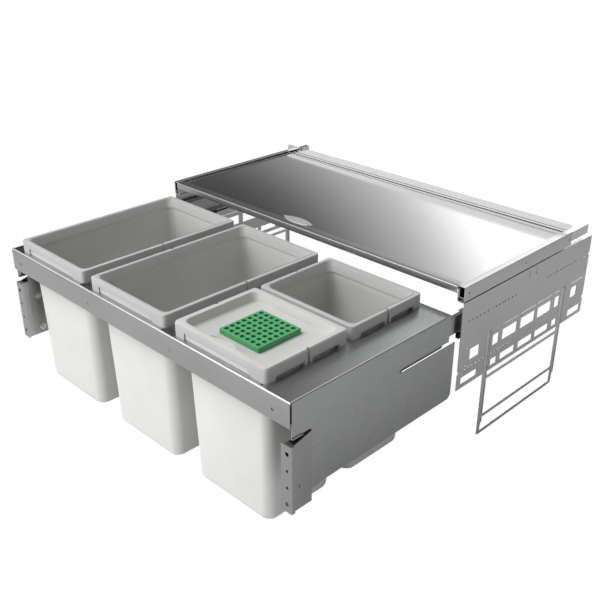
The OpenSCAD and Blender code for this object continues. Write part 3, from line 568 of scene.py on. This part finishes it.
def pierce(bm, centre, axis, radius, sides=20):
    """A round hole through a flat sheet that faces along an axis."""
    flat = [k for k in (X, Y, Z) if k != axis]
    reach = Vector([(0.1 if k == axis else 1.5 * radius) * MM for k in (X, Y, Z)])
    low, high = centre - reach, centre + reach
    score(bm, low, high, flat)
    inside = within(bm, low, high)
    border = [e for f in inside for e in f.edges if sum(g in inside for g in e.link_faces) == 1]
    bmesh.ops.delete(bm, geom=inside, context="FACES")
    turn = (Matrix.Rotation(math.pi / 2, 4, "Y"), Matrix.Rotation(math.pi / 2, 4, "X"), Matrix.Identity(4))
    circle = bmesh.ops.create_circle(bm, cap_ends=False, segments=sides, radius=radius * MM,
                                     matrix=Matrix.Translation(centre) @ turn[axis])["verts"]
    bmesh.ops.triangle_fill(bm, use_beauty=True, use_dissolve=False,
                            edges=edges_of(circle) + [e for e in border if e.is_valid])


def fold(bm, outline, run, bend=0.0, segments=3):
    """Draws a strip through corner points, runs it along a straight line and rounds its bends."""
    verts = [bm.verts.new(p) for p in outline]
    edges = [bm.edges.new(pair) for pair in zip(verts, verts[1:])]
    moved = points_of(bmesh.ops.extrude_edge_only(bm, edges=edges)["geom"])
    bmesh.ops.translate(bm, vec=run, verts=moved)
    bends = [e for v in verts[1:-1] for e in v.link_edges if e.other_vert(v) in moved]
    if bend > 0.0 and bends:
        soften(bm, bends, bend, segments)


def soften(bm, edges, radius, segments):
    """Rounds edges."""
    bmesh.ops.bevel(bm, geom=edges, offset=radius * MM, offset_type="OFFSET", segments=segments,
                    profile=0.5, affect="EDGES", material=-1)


def give_wall(bm, thickness, front):
    """Turns the sheet towards front, a direction for each place, and gives it a wall behind."""
    bmesh.ops.remove_doubles(bm, verts=bm.verts, dist=TOUCH)
    bmesh.ops.recalc_face_normals(bm, faces=bm.faces)
    facing = sum(f.calc_area() * f.normal.dot(front(f.calc_center_median())) for f in bm.faces)
    if facing < 0.0:
        bmesh.ops.reverse_faces(bm, faces=bm.faces)
    drawn = bm.faces[:]
    bmesh.ops.solidify(bm, geom=drawn, thickness=thickness * MM)
    return drawn


def towards(x, y, z):
    """The same direction for every place, as give_wall takes it."""
    return lambda place: Vector((x, y, z))


def block(bm, low, high, bevel=0.0):
    """A solid block with rounded edges."""
    size = high - low
    made = bmesh.ops.create_cube(bm, size=1.0, matrix=Matrix.Translation((low + high) / 2)
                                 @ Matrix.Diagonal((size.x, size.y, size.z, 1.0)))["verts"]
    if bevel > 0.0:
        soften(bm, edges_of(made), bevel, 2)


def paint(faces, number):
    """Gives faces the piece's material of that number."""
    for f in faces:
        f.material_index = number


def join(bm, part):
    """Adds a part's mesh to a piece."""
    mesh = bpy.data.meshes.new("part")
    part.to_mesh(mesh)
    part.free()
    bm.from_mesh(mesh)
    bpy.data.meshes.remove(mesh)


def finish_piece(name, bm, slot, body, node, finish=None, others=(), sharp=32.0):
    """Makes the piece that stands for a CAD node, with its slot's finish unless another is given, on a body,
    and hides the node.
    """
    mesh = bpy.data.meshes.new(name)
    bm.to_mesh(mesh)
    bm.free()
    mesh.polygons.foreach_set("use_smooth", [True] * len(mesh.polygons))
    mesh.set_sharp_from_angle(angle=math.radians(sharp))
    for material in (finish or FINISHES[slot], *others):
        mesh.materials.append(material)
    piece = bpy.data.objects.new(name, mesh)
    bpy.context.collection.objects.link(piece)
    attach(piece, body)
    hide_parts(node)


# Bins and rims

# The node of each bin and of its rim, and the bodies that they ride on
BINS = (
    ("large_bin_left", "large_rim_left", "bin_large_left", "rim_large_left"),
    ("large_bin_middle", "large_rim_middle", "bin_large_middle", "rim_large_middle"),
    ("small_bin_front", "small_rim_front", "bin_small_front", "rim_small_front"),
    ("small_bin_back", "small_rim_back", "bin_small_back", "rim_small_back"),
)
BIN_WALL = 2.0
RIM_WALL = 1.6
# How far a bin's lip lies under its rim's top
BIN_LIP_DROP = 2.8
# The slot across each long side of a rim, and the low windows before and behind it
RIM_SLOT_REACH = 5.2
RIM_SLOT_HALF = 2.4
RIM_WINDOW_REACH = 4.4
RIM_WINDOW_H = 7.5
RIM_WINDOW_FROM_END = 22.0
RIM_WINDOW_FROM_MIDDLE = 9.0
# The finger opening under the front of a front rim, as shares of the rim's width
FINGER_START = 0.12
FINGER_END = 0.85
FINGER_H = 13.0
FINGER_SLOPE_W = 14.0
FINGER_SLOPE = Vector((-0.68, 0.0, -0.73))
# The notch at a rim's back: its start as a share of the rim's width, and its own width
RIM_NOTCH_START = 0.28
RIM_NOTCH_W = 1.6
# A rim that starts before this line stands in the front row
FRONT_ROW_Y = 100.0


def cut_rim_gaps(bm, low, high, margin):
    """Slots and low windows in the two long sides of a rim and of the bin's lip behind it."""
    middle = (low[Y] + high[Y]) / 2
    foot, top = low[Z], high[Z]
    before = (low[Y] + RIM_WINDOW_FROM_END + margin, middle - RIM_WINDOW_FROM_MIDDLE - margin)
    behind = (middle + RIM_WINDOW_FROM_MIDDLE + margin, high[Y] - RIM_WINDOW_FROM_END - margin)
    for x in (low[X], high[X]):
        for window in (before, behind):
            cut_window(bm, *span((x - RIM_WINDOW_REACH, x + RIM_WINDOW_REACH), window,
                                 (foot - 2, foot + RIM_WINDOW_H)))
        cut_window(bm, *span((x - RIM_SLOT_REACH, x + RIM_SLOT_REACH),
                             (middle - RIM_SLOT_HALF, middle + RIM_SLOT_HALF), (foot - 2, top + 2)))


def make_bin(node, rim, body):
    low, high = node_box(rim)
    floor = node_box(node)[0][Z]
    deck, lip = low[Z], high[Z] - BIN_LIP_DROP
    bm = bmesh.new()
    # Outside of the lip, over its top, down the sloped mouth and the tapered inside to the floor
    loft(bm, *plan(low, high), (
        (2.5, 5.5, deck + 0.3), (2.5, 5.5, lip - 1.5), (2.9, 5.2, lip - 0.4), (4.0, 4.5, lip),
        (7.2, 12.0, lip), (7.8, 12.2, lip - 0.8), (12.4, 17.8, lip - 18.8), (12.6, 18.0, deck - 6.0),
        (20.0, 17.6, floor + 12.0), (20.7, 17.0, floor + 7.0), (22.5, 15.5, floor + 3.6),
        (26.0, 12.5, floor + 2.0),
    ), cap=True)
    cut_rim_gaps(bm, low, high, 1.0)
    # The bin's inside and its lip take the darker copy: painted shade
    paint(give_wall(bm, BIN_WALL, towards(0.0, 0.0, 1.0)), 1)
    finish_piece(node + "_shell", bm, "bin_plastic", body, node, others=(BIN_INSIDE_SHADE,))


def make_rim(node, body):
    low, high = node_box(node)
    deck, top = low[Z], high[Z]
    centre, size = plan(low, high)
    bm = bmesh.new()
    # Outside skirt, flat top with its groove, and the sloped mouth
    loft(bm, centre, size, (
        (0.0, 6.5, deck), (0.0, 6.5, top - 1.2), (0.15, 6.4, top - 0.6), (0.6, 6.0, top - 0.15),
        (1.2, 5.6, top), (7.3, 12.2, top), (7.4, 12.2, top - 1.0), (8.7, 12.8, top - 1.0),
        (8.8, 12.9, top), (9.5, 13.0, top - 0.2), (9.9, 12.9, top - 1.0), (14.39, 15.9, top - 20.0),
    ))
    if low[Y] < FRONT_ROW_Y:
        left, right = low[X] + FINGER_START * size[0], low[X] + FINGER_END * size[0]
        bend, grip, skirt = right - FINGER_SLOPE_W, deck + FINGER_H, (low[Y] - 2, low[Y] + 4)
        cut_window(bm, *span((left, bend), skirt, (deck - 2, grip)))
        cut_slope(bm, *span((bend, right), skirt, (deck - 2, grip)),
                  at(bend, low[Y], grip), FINGER_SLOPE)
    cut_rim_gaps(bm, low, high, 0.0)
    notch = low[X] + RIM_NOTCH_START * size[0]
    cut_window(bm, *span((notch, notch + RIM_NOTCH_W), (high[Y] - 15.2, high[Y] - 13.0),
                         (top - 9, top - 0.4)))
    give_wall(bm, RIM_WALL, towards(0.0, 0.0, 1.0))
    finish_piece(node + "_frame", bm, "rim_plastic", body, node)


for bin_node, rim_node, bin_body, rim_body in BINS:
    make_bin(bin_node, rim_node, bin_body)
    make_rim(rim_node, rim_body)


# Lid and filter

LID_WALL = 1.6
LID_DEPTH = 15.0
# The finger grip: a crescent cut off a disc, with a thin wall along its arc
GRIP_FROM_RIM = 11.2
GRIP_DEPTH = 10.6
GRIP_RADIUS = 61.2
GRIP_STEP = 2.8
GRIP_FOOT = 3.3
GRIP_WALL = 1.3
GRIP_SIDES = 96
FILTER_HOLES = 7
FILTER_HOLE_RADIUS = 4.8
# The share of the filter's width that the holes' grid takes
FILTER_GRID = 0.945


def add_grip(bm, centre_x, wall, floor, top):
    """A low crescent step against the lid's front wall, and the thin wall along its arc."""
    middle = at(centre_x, wall + GRIP_DEPTH - GRIP_RADIUS, floor + 0.3)
    crescent = (GRIP_RADIUS, wall, top - GRIP_STEP, True)
    arc = (GRIP_RADIUS + 0.7, wall + 0.3, top - 0.4, False)
    for radius, front, head, solid in (crescent, arc):
        part = bmesh.new()
        circle = bmesh.ops.create_circle(part, cap_ends=solid, segments=GRIP_SIDES, radius=radius * MM)
        bmesh.ops.translate(part, vec=middle, verts=circle["verts"])
        bmesh.ops.bisect_plane(part, geom=part.verts[:] + part.edges[:] + part.faces[:], dist=CUT,
                               plane_co=at(0, front, 0), plane_no=AXES[Y], clear_inner=True)
        if solid:
            risen = points_of(bmesh.ops.extrude_face_region(part, geom=part.faces[:])["geom"])
        else:
            risen = points_of(bmesh.ops.extrude_edge_only(part, edges=part.edges[:])["geom"])
        bmesh.ops.translate(part, vec=(0.0, 0.0, (head - floor) * MM), verts=risen)
        # The foot stays behind the pan's sloping wall
        for v in part.verts:
            if v not in risen:
                v.co.y = max(v.co.y, at(0, wall + GRIP_FOOT, 0).y)
        if solid:
            bmesh.ops.recalc_face_normals(part, faces=part.faces)
        else:
            give_wall(part, GRIP_WALL, lambda place: place - middle)
        join(bm, part)


def make_lid():
    low, high = node_box("small_rim_front")
    centre, size = plan(low, high)
    rest, floor = high[Z] + 0.2, high[Z] - LID_DEPTH
    top = rest + LID_WALL + 0.1
    bm = bmesh.new()
    # Its brim lies on the whole width of the rim, its pan hangs inside it
    loft(bm, centre, size, (
        (1.4, 5.6, rest), (1.4, 5.6, top - 0.6), (1.6, 5.4, top - 0.2), (2.1, 5.0, top),
        (11.0, 14.8, top), (11.7, 14.5, top - 0.3), (12.3, 14.2, top - 1.4), (15.7, 13.0, floor + 3.0),
        (16.8, 12.0, floor + 1.0), (18.8, 10.5, floor),
    ), cap=True)
    for x in (low[X], high[X]):
        cut_window(bm, *span((x - RIM_SLOT_REACH, x + RIM_SLOT_REACH),
                             (centre[1] - RIM_SLOT_HALF, centre[1] + RIM_SLOT_HALF), (rest - 1, top + 1)))
    give_wall(bm, LID_WALL, towards(0.0, 0.0, 1.0))
    add_grip(bm, centre[0], low[Y] + GRIP_FROM_RIM, floor, top)
    finish_piece("bin_lid_pan", bm, "lid_plastic", "lid", "bin_lid")


def make_filter():
    low, high = node_box("odour_filter")
    centre, size = plan(low, high)
    width, pitch = size[0], FILTER_GRID * size[0] / FILTER_HOLES
    bm = bmesh.new()
    # One cell: a ring from the round hole to the cell's square border
    hole = bmesh.ops.create_circle(bm, cap_ends=False, segments=16, radius=FILTER_HOLE_RADIUS * MM)["verts"]
    inner = edges_of(hole)
    reach = pitch / 2 * MM
    square = bmesh.ops.create_circle(bm, cap_ends=False, segments=16, radius=reach)["verts"]
    for v in square:
        v.co.x = max(-reach, min(reach, v.co.x * 1.5))
        v.co.y = max(-reach, min(reach, v.co.y * 1.5))
    bmesh.ops.bridge_loops(bm, edges=inner + edges_of(square))
    cell = bm.verts[:] + bm.edges[:] + bm.faces[:]
    for number in range(1, FILTER_HOLES ** 2):
        column, row = divmod(number, FILTER_HOLES)
        copy = points_of(bmesh.ops.duplicate(bm, geom=cell)["geom"])
        bmesh.ops.translate(bm, vec=(column * pitch * MM, row * pitch * MM, 0.0), verts=copy)
    half = (FILTER_HOLES - 1) / 2 * pitch
    bmesh.ops.translate(bm, vec=at(centre[0] - half, centre[1] - half, high[Z]), verts=bm.verts)
    bmesh.ops.remove_doubles(bm, verts=bm.verts, dist=10 * TOUCH)
    middle = at(*centre, high[Z])

    def off(v):
        """How far a point lies from the middle along x and along y."""
        return abs(v.co.x - middle.x), abs(v.co.y - middle.y)

    # The grid's border runs out to the pad's edge, and the sheet of cells gets its height
    grid_edge = (pitch * FILTER_HOLES / 2 - 0.1) * MM
    border = [e for e in bm.edges if len(e.link_faces) == 1 and all(max(off(v)) > grid_edge for v in e.verts)]
    grown = points_of(bmesh.ops.extrude_edge_only(bm, edges=border)["geom"])
    growth = width / (pitch * FILTER_HOLES)
    bmesh.ops.scale(bm, vec=(growth, growth, 1.0), verts=grown, space=Matrix.Translation(-middle))
    bmesh.ops.recalc_face_normals(bm, faces=bm.faces)
    if sum(f.normal.z for f in bm.faces) < 0:
        bmesh.ops.reverse_faces(bm, faces=bm.faces)
    bmesh.ops.solidify(bm, geom=bm.faces[:], thickness=(high[Z] - low[Z]) * MM)
    pad_edge = (width / 2 - 0.05) * MM
    brim = [e for e in bm.edges
            if all(max(off(v)) > pad_edge and abs(v.co.z - middle.z) < TOUCH for v in e.verts)]
    posts = [e for e in bm.edges if all(min(off(v)) > pad_edge for v in e.verts)]
    soften(bm, posts + brim, 1.4, 3)
    finish_piece("odour_filter_pad", bm, "filter_pad", "filter", "odour_filter")


make_lid()
make_filter()


# Drawer frame

DRAWER_SHEET = 1.2
RAIL_BEND = 3.4
RAIL_LEDGE = 18.0
RAIL_RETURN = 10.0
# The rail's screw holes: the first one, their spacing and how far under the deck they lie
RAIL_HOLE_X = -396.0
RAIL_HOLE_PITCH = 261.8
RAIL_HOLE_DROP = 28.0
RAIL_HOLE_RADIUS = 2.9
RAIL_HOLES = 4
# The return under the rail ends here, which leaves room for the door brackets
RAIL_RETURN_X = 405.0
PANEL_X = 428.0
PANEL_BEND = 3.0
PANEL_FRONT = 4.8
PANEL_BACK = 433.0
PANEL_CORNER = 8.0
# The notch in front for the door bracket, and the slot at the back for the slide bracket
NOTCH_BACK = 47.0
NOTCH_TOP = 259.0
SLOT_FRONT = 271.0
SLOT_FOOT = 263.0
SLOT_TOP = 271.0
# Where the panel's flange ends, and where its upright steps down
PANEL_FLANGE_BACK = 397.0
PANEL_STEP_Y = 413.0
# The short ledge along the notch's upper edge
LEDGE_INNER_X = 423.2
LEDGE_OUTER_X = 430.4
LEDGE_W = 24.0
BRACKET_SHEET = 1.5
BRACKET_INNER_X = 407.8
BRACKET_OUTER_X = 432.0
BRACKET_RETURN = 8.0
BRACKET_HOLE_X = 421.5
BRACKET_HOLE_RISE = 17.0
BRACKET_HOLE_PITCH = 33.0
# The radius of each hole, from the lowest one up
BRACKET_HOLES = (4.0, 2.7, 2.7, 4.0)
# The sheets behind the bracket's flange start this far back
BRACKET_START = 1.6
# The outer cheek, its small slot and its slanted top, and the inner leaf
CHEEK_X = 430.2
CHEEK_BACK = 48.0
CHEEK_TOP = 257.0
CHEEK_SLOT_Y = (18.0, 19.8)
CHEEK_SLOT_RISE = (44.0, 51.0)
CHEEK_SLANT = Vector((0.0, -10.0, 40.0)).normalized()
CHEEK_SLANT_Y = 8.0
CHEEK_SLANT_DROP = 10.5
LEAF_X = 415.3
LEAF_BACK = 60.0


def make_front_rail():
    low, high = node_box("front_rail")
    foot, deck, out = low[Z], high[Z], high[X]
    bm = bmesh.new()
    fold(bm, [at(-out, RAIL_RETURN, foot), at(-out, 0, foot), at(-out, 0, deck), at(-out, RAIL_LEDGE, deck)],
         (2 * out * MM, 0, 0), RAIL_BEND, 5)
    # The top edge is a ledge only where a bin rests on it
    ledge = (RAIL_BEND + 1.0, RAIL_LEDGE + 1.0)
    reach = -out - 1
    for rim in ("large_rim_left", "large_rim_middle", "small_rim_front"):
        rim_low, rim_high = node_box(rim)
        cut_window(bm, *span((reach, rim_low[X] + 5), ledge, (deck - 1, deck + 1)))
        reach = rim_high[X] - 5
    cut_window(bm, *span((reach, out + 1), ledge, (deck - 1, deck + 1)))
    for side in SIDES:
        cut_window(bm, *span((side * RAIL_RETURN_X, side * (out + 1)), (2.5, RAIL_RETURN + 2),
                             (foot - 1, foot + 1)))
    for number in range(RAIL_HOLES):
        x = RAIL_HOLE_X + RAIL_HOLE_PITCH * number
        pierce(bm, at(x, 0, deck - RAIL_HOLE_DROP), Y, RAIL_HOLE_RADIUS, sides=14)
    give_wall(bm, DRAWER_SHEET, towards(0.0, -1.0, 0.0))
    # The rail takes the darker copy of its slot's steel: painted shade
    finish_piece("front_rail_fold", bm, "plate_steel", "drawer", "front_rail", finish=SHADED_RAIL_STEEL)


def make_side_panel(side):
    name = sided("side_panel", side)
    low, high = node_box(name)
    deck, foot, out = high[Z], low[Z], PANEL_X
    edge = min(abs(low[X]), abs(high[X]))
    past = PANEL_BACK + 1
    bm = bmesh.new()
    fold(bm, [at(side * edge, PANEL_FRONT, deck), at(side * out, PANEL_FRONT, deck),
              at(side * out, PANEL_FRONT, foot)],
         (0, (PANEL_BACK - PANEL_FRONT) * MM, 0), PANEL_BEND, 5)
    upright = (side * (out - 3), side * (out + 1))
    cut_window(bm, *span(upright, (PANEL_FRONT - 1, NOTCH_BACK), (foot - 1, NOTCH_TOP)))
    cut_window(bm, *span(upright, (SLOT_FRONT, past), (SLOT_FOOT, SLOT_TOP)))
    cut_window(bm, *span((0, side * (out - 1.9)), (PANEL_FLANGE_BACK, past), (deck - 1, deck + 1)))
    bend = (side * (out - 6), side * (out + 1))
    cut_window(bm, *span(bend, (PANEL_STEP_Y, past), (SLOT_TOP, deck + 2)))
    corner = PANEL_BACK - PANEL_CORNER
    cut_slope(bm, *span((side * out - 1, side * out + 1), (corner - 1, past),
                        (foot - 1, foot + PANEL_CORNER + 1)),
              at(side * out, corner, foot), Vector((0.0, 1.0, -1.0)).normalized())
    give_wall(bm, DRAWER_SHEET, towards(side, 0.0, 1.0))
    block(bm, *span((side * LEDGE_INNER_X, side * LEDGE_OUTER_X), (PANEL_FRONT, PANEL_FRONT + LEDGE_W),
                    (NOTCH_TOP - 1.6, NOTCH_TOP - 0.2)), 0.4)
    finish_piece(name + "_fold", bm, "panel_steel", "drawer", name)


def add_cheek(bm, side, foot):
    """The door bracket's outer cheek, with a small slot and a slanted top."""
    x, start = side * CHEEK_X, foot + 2
    part = bmesh.new()
    fold(part, [at(x, BRACKET_START, start), at(x, CHEEK_BACK, start)], (0, 0, (CHEEK_TOP - start) * MM))
    near = (x - 1, x + 1)
    cut_window(part, *span(near, CHEEK_SLOT_Y, [foot + rise for rise in CHEEK_SLOT_RISE]))
    cut_slope(part, *span(near, (0, CHEEK_BACK + 2), (CHEEK_TOP - 17, CHEEK_TOP + 3)),
              at(x, CHEEK_SLANT_Y, CHEEK_TOP - CHEEK_SLANT_DROP), CHEEK_SLANT)
    give_wall(part, BRACKET_SHEET, towards(side, 0.0, 0.0))
    join(bm, part)


def make_front_bracket(side):
    name = sided("front_bracket", side)
    low, high = node_box(name)
    foot, head = low[Z], high[Z]
    inner, out, leaf_x = side * BRACKET_INNER_X, side * BRACKET_OUTER_X, side * LEAF_X
    rise = (0, 0, (head - foot) * MM)
    bm = bmesh.new()
    # Flange for the cabinet's door, with its short return
    fold(bm, [at(inner, 0, foot), at(out, 0, foot), at(out, BRACKET_RETURN, foot)], rise, 1.0)
    for number, radius in enumerate(BRACKET_HOLES):
        z = foot + BRACKET_HOLE_RISE + BRACKET_HOLE_PITCH * number
        pierce(bm, at(side * BRACKET_HOLE_X, 0, z), Y, radius)
    face_y = at(0, 1, 0).y
    give_wall(bm, BRACKET_SHEET, lambda place: Vector((place.x, -1.0 if place.y < face_y else 0.0, 0.0)))
    add_cheek(bm, side, foot)
    # Inner leaf, and the cap between it and the return
    leaf = bmesh.new()
    fold(leaf, [at(leaf_x, BRACKET_START, foot), at(leaf_x, LEAF_BACK, foot)], rise)
    give_wall(leaf, BRACKET_SHEET, towards(side, 0.0, 0.0))
    join(bm, leaf)
    block(bm, *span((leaf_x, out - side * BRACKET_START), (BRACKET_START, 10),
                    (head - BRACKET_SHEET, head)), 0.3)
    finish_piece(name + "_fold", bm, "plate_steel", "drawer", name, finish=BRACKET_STEEL)


make_front_rail()
for side in SIDES:
    make_side_panel(side)
    make_front_bracket(side)


# Side plates: the CAD sheet, its top flange close under the tray rail, its two channel floors painted near
# black as painted shade

PLATE_FLANGE_FOOT = 333.7
PLATE_FLANGE_LIFT = 4.0
CHANNEL_X = 430.85
CHANNEL_TOP = 300.0


def make_side_plate(side):
    name = sided("side_plate", side)
    node = frame["nodes"][name]
    bm = bmesh.new()
    bm.from_mesh(node.data)
    bm.transform(node.matrix_world)
    bmesh.ops.remove_doubles(bm, verts=bm.verts, dist=TOUCH)
    flange = [v for v in bm.verts if v.co.z > PLATE_FLANGE_FOOT * MM]
    bmesh.ops.translate(bm, vec=(0.0, 0.0, PLATE_FLANGE_LIFT * MM), verts=flange)
    # The outward faces inside the two channels take the second, near-black finish: painted shade where the
    # channels lie in shadow
    for f in bm.faces:
        middle = f.calc_center_median()
        if abs(middle.x) < CHANNEL_X * MM and middle.z < CHANNEL_TOP * MM and f.normal.x * side > 0.9:
            f.material_index = 1
    finish_piece(name + "_sheet", bm, "plate_steel", home[name], name, others=(SHADE_LINE_STEEL,), sharp=5.0)


for side in SIDES:
    make_side_plate(side)


# Support frames: each leg has a narrow return along its back edge, with a seam between that is filled with
# painted shade

LEG_W = 16.0
LEG_STRIP_W = 10.6
LEG_SEAM_W = 1.8
LEG_CORNER = 4.0
LEG_RETURN_FOOT = 27.0
LEG_WALL = 1.0
BAR_H = 8.0
BAR_FEET = (0.0, 39.0, 132.0)
# Wall of the bars and of the returns
BAR_WALL = 0.9
# The near-black block that paints shade into a seam, and the rib behind a leg, counted back from the leg's
# face
SEAM_SHADE_DEPTHS = (0.7, 0.98)
SEAM_SHADE_FOOT = 20.0
RIB_DEPTHS = (0.9, 1.9)
RIB_EDGES = (7.0, 9.0)
RIB_TOP = 134.0


def add_strip(bm, side, x, y_ends, z_ends, wall, corner=0.0):
    """A flat upright strip of sheet, its face at x; corner cuts its two lower corners."""
    (near, far), (foot, head) = y_ends, z_ends
    part = bmesh.new()
    fold(part, [at(x, near, foot), at(x, far, foot)], (0, 0, (head - foot) * MM))
    if corner:
        reach, z_reach = corner + 0.5, (foot - 1, foot + corner + 1)
        for edge, way in ((near, -1.0), (far, 1.0)):
            cut_slope(part, *span((x - 1, x + 1), (edge - reach, edge + reach), z_reach),
                      at(x, edge, foot + corner), Vector((0.0, way, -1.0)).normalized())
    give_wall(part, wall, towards(side, 0.0, 0.0))
    join(bm, part)


def make_support_frame(side):
    name = sided("support_frame", side)
    low, high = node_box(name)
    face = side * (max(abs(low[X]), abs(high[X])) - 0.02)
    bm = bmesh.new()
    seam_shade = bmesh.new()
    for y in (low[Y], high[Y] - LEG_W):
        seam = y + LEG_STRIP_W
        add_strip(bm, side, face, (y, seam), (0.0, high[Z]), LEG_WALL, LEG_CORNER)
        add_strip(bm, side, face - side * 0.1, (seam + LEG_SEAM_W, y + LEG_W),
                  (LEG_RETURN_FOOT, high[Z]), BAR_WALL)
        # A near-black block inside the seam: painted shade
        block(seam_shade, *span([face - side * depth for depth in SEAM_SHADE_DEPTHS],
                           (seam - 0.6, seam + LEG_SEAM_W + 0.6), (SEAM_SHADE_FOOT, high[Z] - 1.0)))
        block(bm, *span([face - side * depth for depth in RIB_DEPTHS],
                        [y + edge for edge in RIB_EDGES], (BAR_H, RIB_TOP)), 0.2)
    bar = (low[Y] + LEG_STRIP_W - 1.0, high[Y] - LEG_W + 1.0)
    for z in BAR_FEET:
        add_strip(bm, side, face - side * 0.05, bar, (z, z + BAR_H), BAR_WALL)
    paint(seam_shade.faces, 1)
    join(bm, seam_shade)
    finish_piece(name + "_fold", bm, "plate_steel", home[name], name,
                 finish=SUPPORT_STEEL, others=(SHADE_LINE_STEEL,))


for side in SIDES:
    make_support_frame(side)


# Cover tray

TRAY_EDGE = 417.0
TRAY_TOP = 372.0
TRAY_SHEET_Z = 366.0
TRAY_FRONT = 441.0
TRAY_START = 445.0
TRAY_BACK = 833.0
TRAY_WALL = 1.0
LIP_FOOT = 358.0
LIP_DEPTH = 22.0
LIP_CORNER = 11.0
TRAY_FLANGE_X = 429.0
TRAY_FLANGE_Y = 834.0
TRAY_FLANGE_TOP = 387.0
TRAY_FLANGE_CORNER = 8.0
TRAY_RAIL_X = 432.0
TRAY_RAIL_FOOT = 341.0
TRAY_RAIL_LIP = 4.5
TRAY_RAIL_HOLES_Y = (460.5, 654.5, 825.2)
TRAY_RAIL_HOLE_RADIUS = 2.3


def tray_lip():
    """The folded front edge, its two back corners rounded."""
    lip = bmesh.new()
    back = TRAY_FRONT + LIP_DEPTH
    fold(lip, [at(-TRAY_EDGE, TRAY_START, LIP_FOOT), at(-TRAY_EDGE, TRAY_FRONT, LIP_FOOT),
               at(-TRAY_EDGE, TRAY_FRONT, TRAY_TOP), at(-TRAY_EDGE, back, TRAY_TOP)],
         (2 * TRAY_EDGE * MM, 0, 0), 1.2)
    for side in SIDES:
        round_corner(lip, at(side * TRAY_EDGE, back, TRAY_TOP), side, AXES[Y], LIP_CORNER)
    give_wall(lip, TRAY_WALL, towards(0.0, -1.0, 1.0))
    # The lip takes the darker rail steel: painted shade on the fold
    paint(lip.faces, 2)
    return lip


def tray_flange():
    """The upright sheet behind the tray, wider than the tray above its rails."""
    flange = bmesh.new()
    out, y, head = TRAY_FLANGE_X, TRAY_FLANGE_Y, TRAY_FLANGE_TOP
    fold(flange, [at(-out, y, TRAY_SHEET_Z), at(-out, y, head)], (2 * out * MM, 0, 0))
    for side in SIDES:
        cut_window(flange, *span((side * TRAY_EDGE, side * (out + 11)), (y - 1, y + 1),
                                 (TRAY_SHEET_Z - 2, TRAY_TOP)))
        round_corner(flange, at(side * out, y, head), side, AXES[Z], TRAY_FLANGE_CORNER)
    give_wall(flange, TRAY_WALL, towards(0.0, 1.0, 0.0))
    return flange


def tray_shade_lines():
    """Near-black strips of painted shade where the sheet meets the flange and where its own edge ends."""
    lines = bmesh.new()
    reach = TRAY_EDGE - 1.2
    for z in (TRAY_SHEET_Z + 0.7, TRAY_TOP - 0.3):
        block(lines, *span((-reach, reach), (TRAY_BACK - 0.5, TRAY_BACK + 0.4), (z - 0.5, z + 0.5)))
    paint(lines.faces, 1)
    return lines


def make_tray_sheet():
    bm = bmesh.new()
    fold(bm, [at(-TRAY_EDGE, TRAY_START, TRAY_TOP), at(-TRAY_EDGE, TRAY_START, TRAY_SHEET_Z),
              at(TRAY_EDGE, TRAY_START, TRAY_SHEET_Z), at(TRAY_EDGE, TRAY_START, TRAY_TOP)],
         (0, (TRAY_BACK - TRAY_START) * MM, 0), 1.0)
    give_wall(bm, TRAY_WALL, towards(0.0, 0.0, 1.0))
    for part in (tray_shade_lines(), tray_lip(), tray_flange()):
        join(bm, part)
    finish_piece("tray_sheet_fold", bm, "tray_steel", "tray", "tray_sheet", others=(SHADE_LINE_STEEL, SHADED_RAIL_STEEL))


def make_tray_rail(side):
    name = sided("tray_rail", side)
    inner, outer, y = side * TRAY_EDGE, side * TRAY_RAIL_X, TRAY_START
    bm = bmesh.new()
    # A channel open downwards, its two lips turned inwards
    fold(bm, [at(inner + side * TRAY_RAIL_LIP, y, TRAY_RAIL_FOOT), at(inner, y, TRAY_RAIL_FOOT),
              at(inner, y, TRAY_TOP), at(outer, y, TRAY_TOP), at(outer, y, TRAY_RAIL_FOOT),
              at(outer - side * TRAY_RAIL_LIP, y, TRAY_RAIL_FOOT)],
         (0, (TRAY_BACK - TRAY_START) * MM, 0), 1.4)
    middle = (TRAY_RAIL_FOOT + TRAY_TOP) / 2
    for hole_y in TRAY_RAIL_HOLES_Y:
        pierce(bm, at(outer, hole_y, middle), X, TRAY_RAIL_HOLE_RADIUS, sides=14)
    centre = at((inner + outer) / 2, 0, middle)
    give_wall(bm, TRAY_WALL, lambda place: Vector((place.x - centre.x, 0.0, place.z - centre.z)))
    finish_piece(name + "_fold", bm, "plate_steel", "tray", name)


make_tray_sheet()
for side in SIDES:
    make_tray_rail(side)
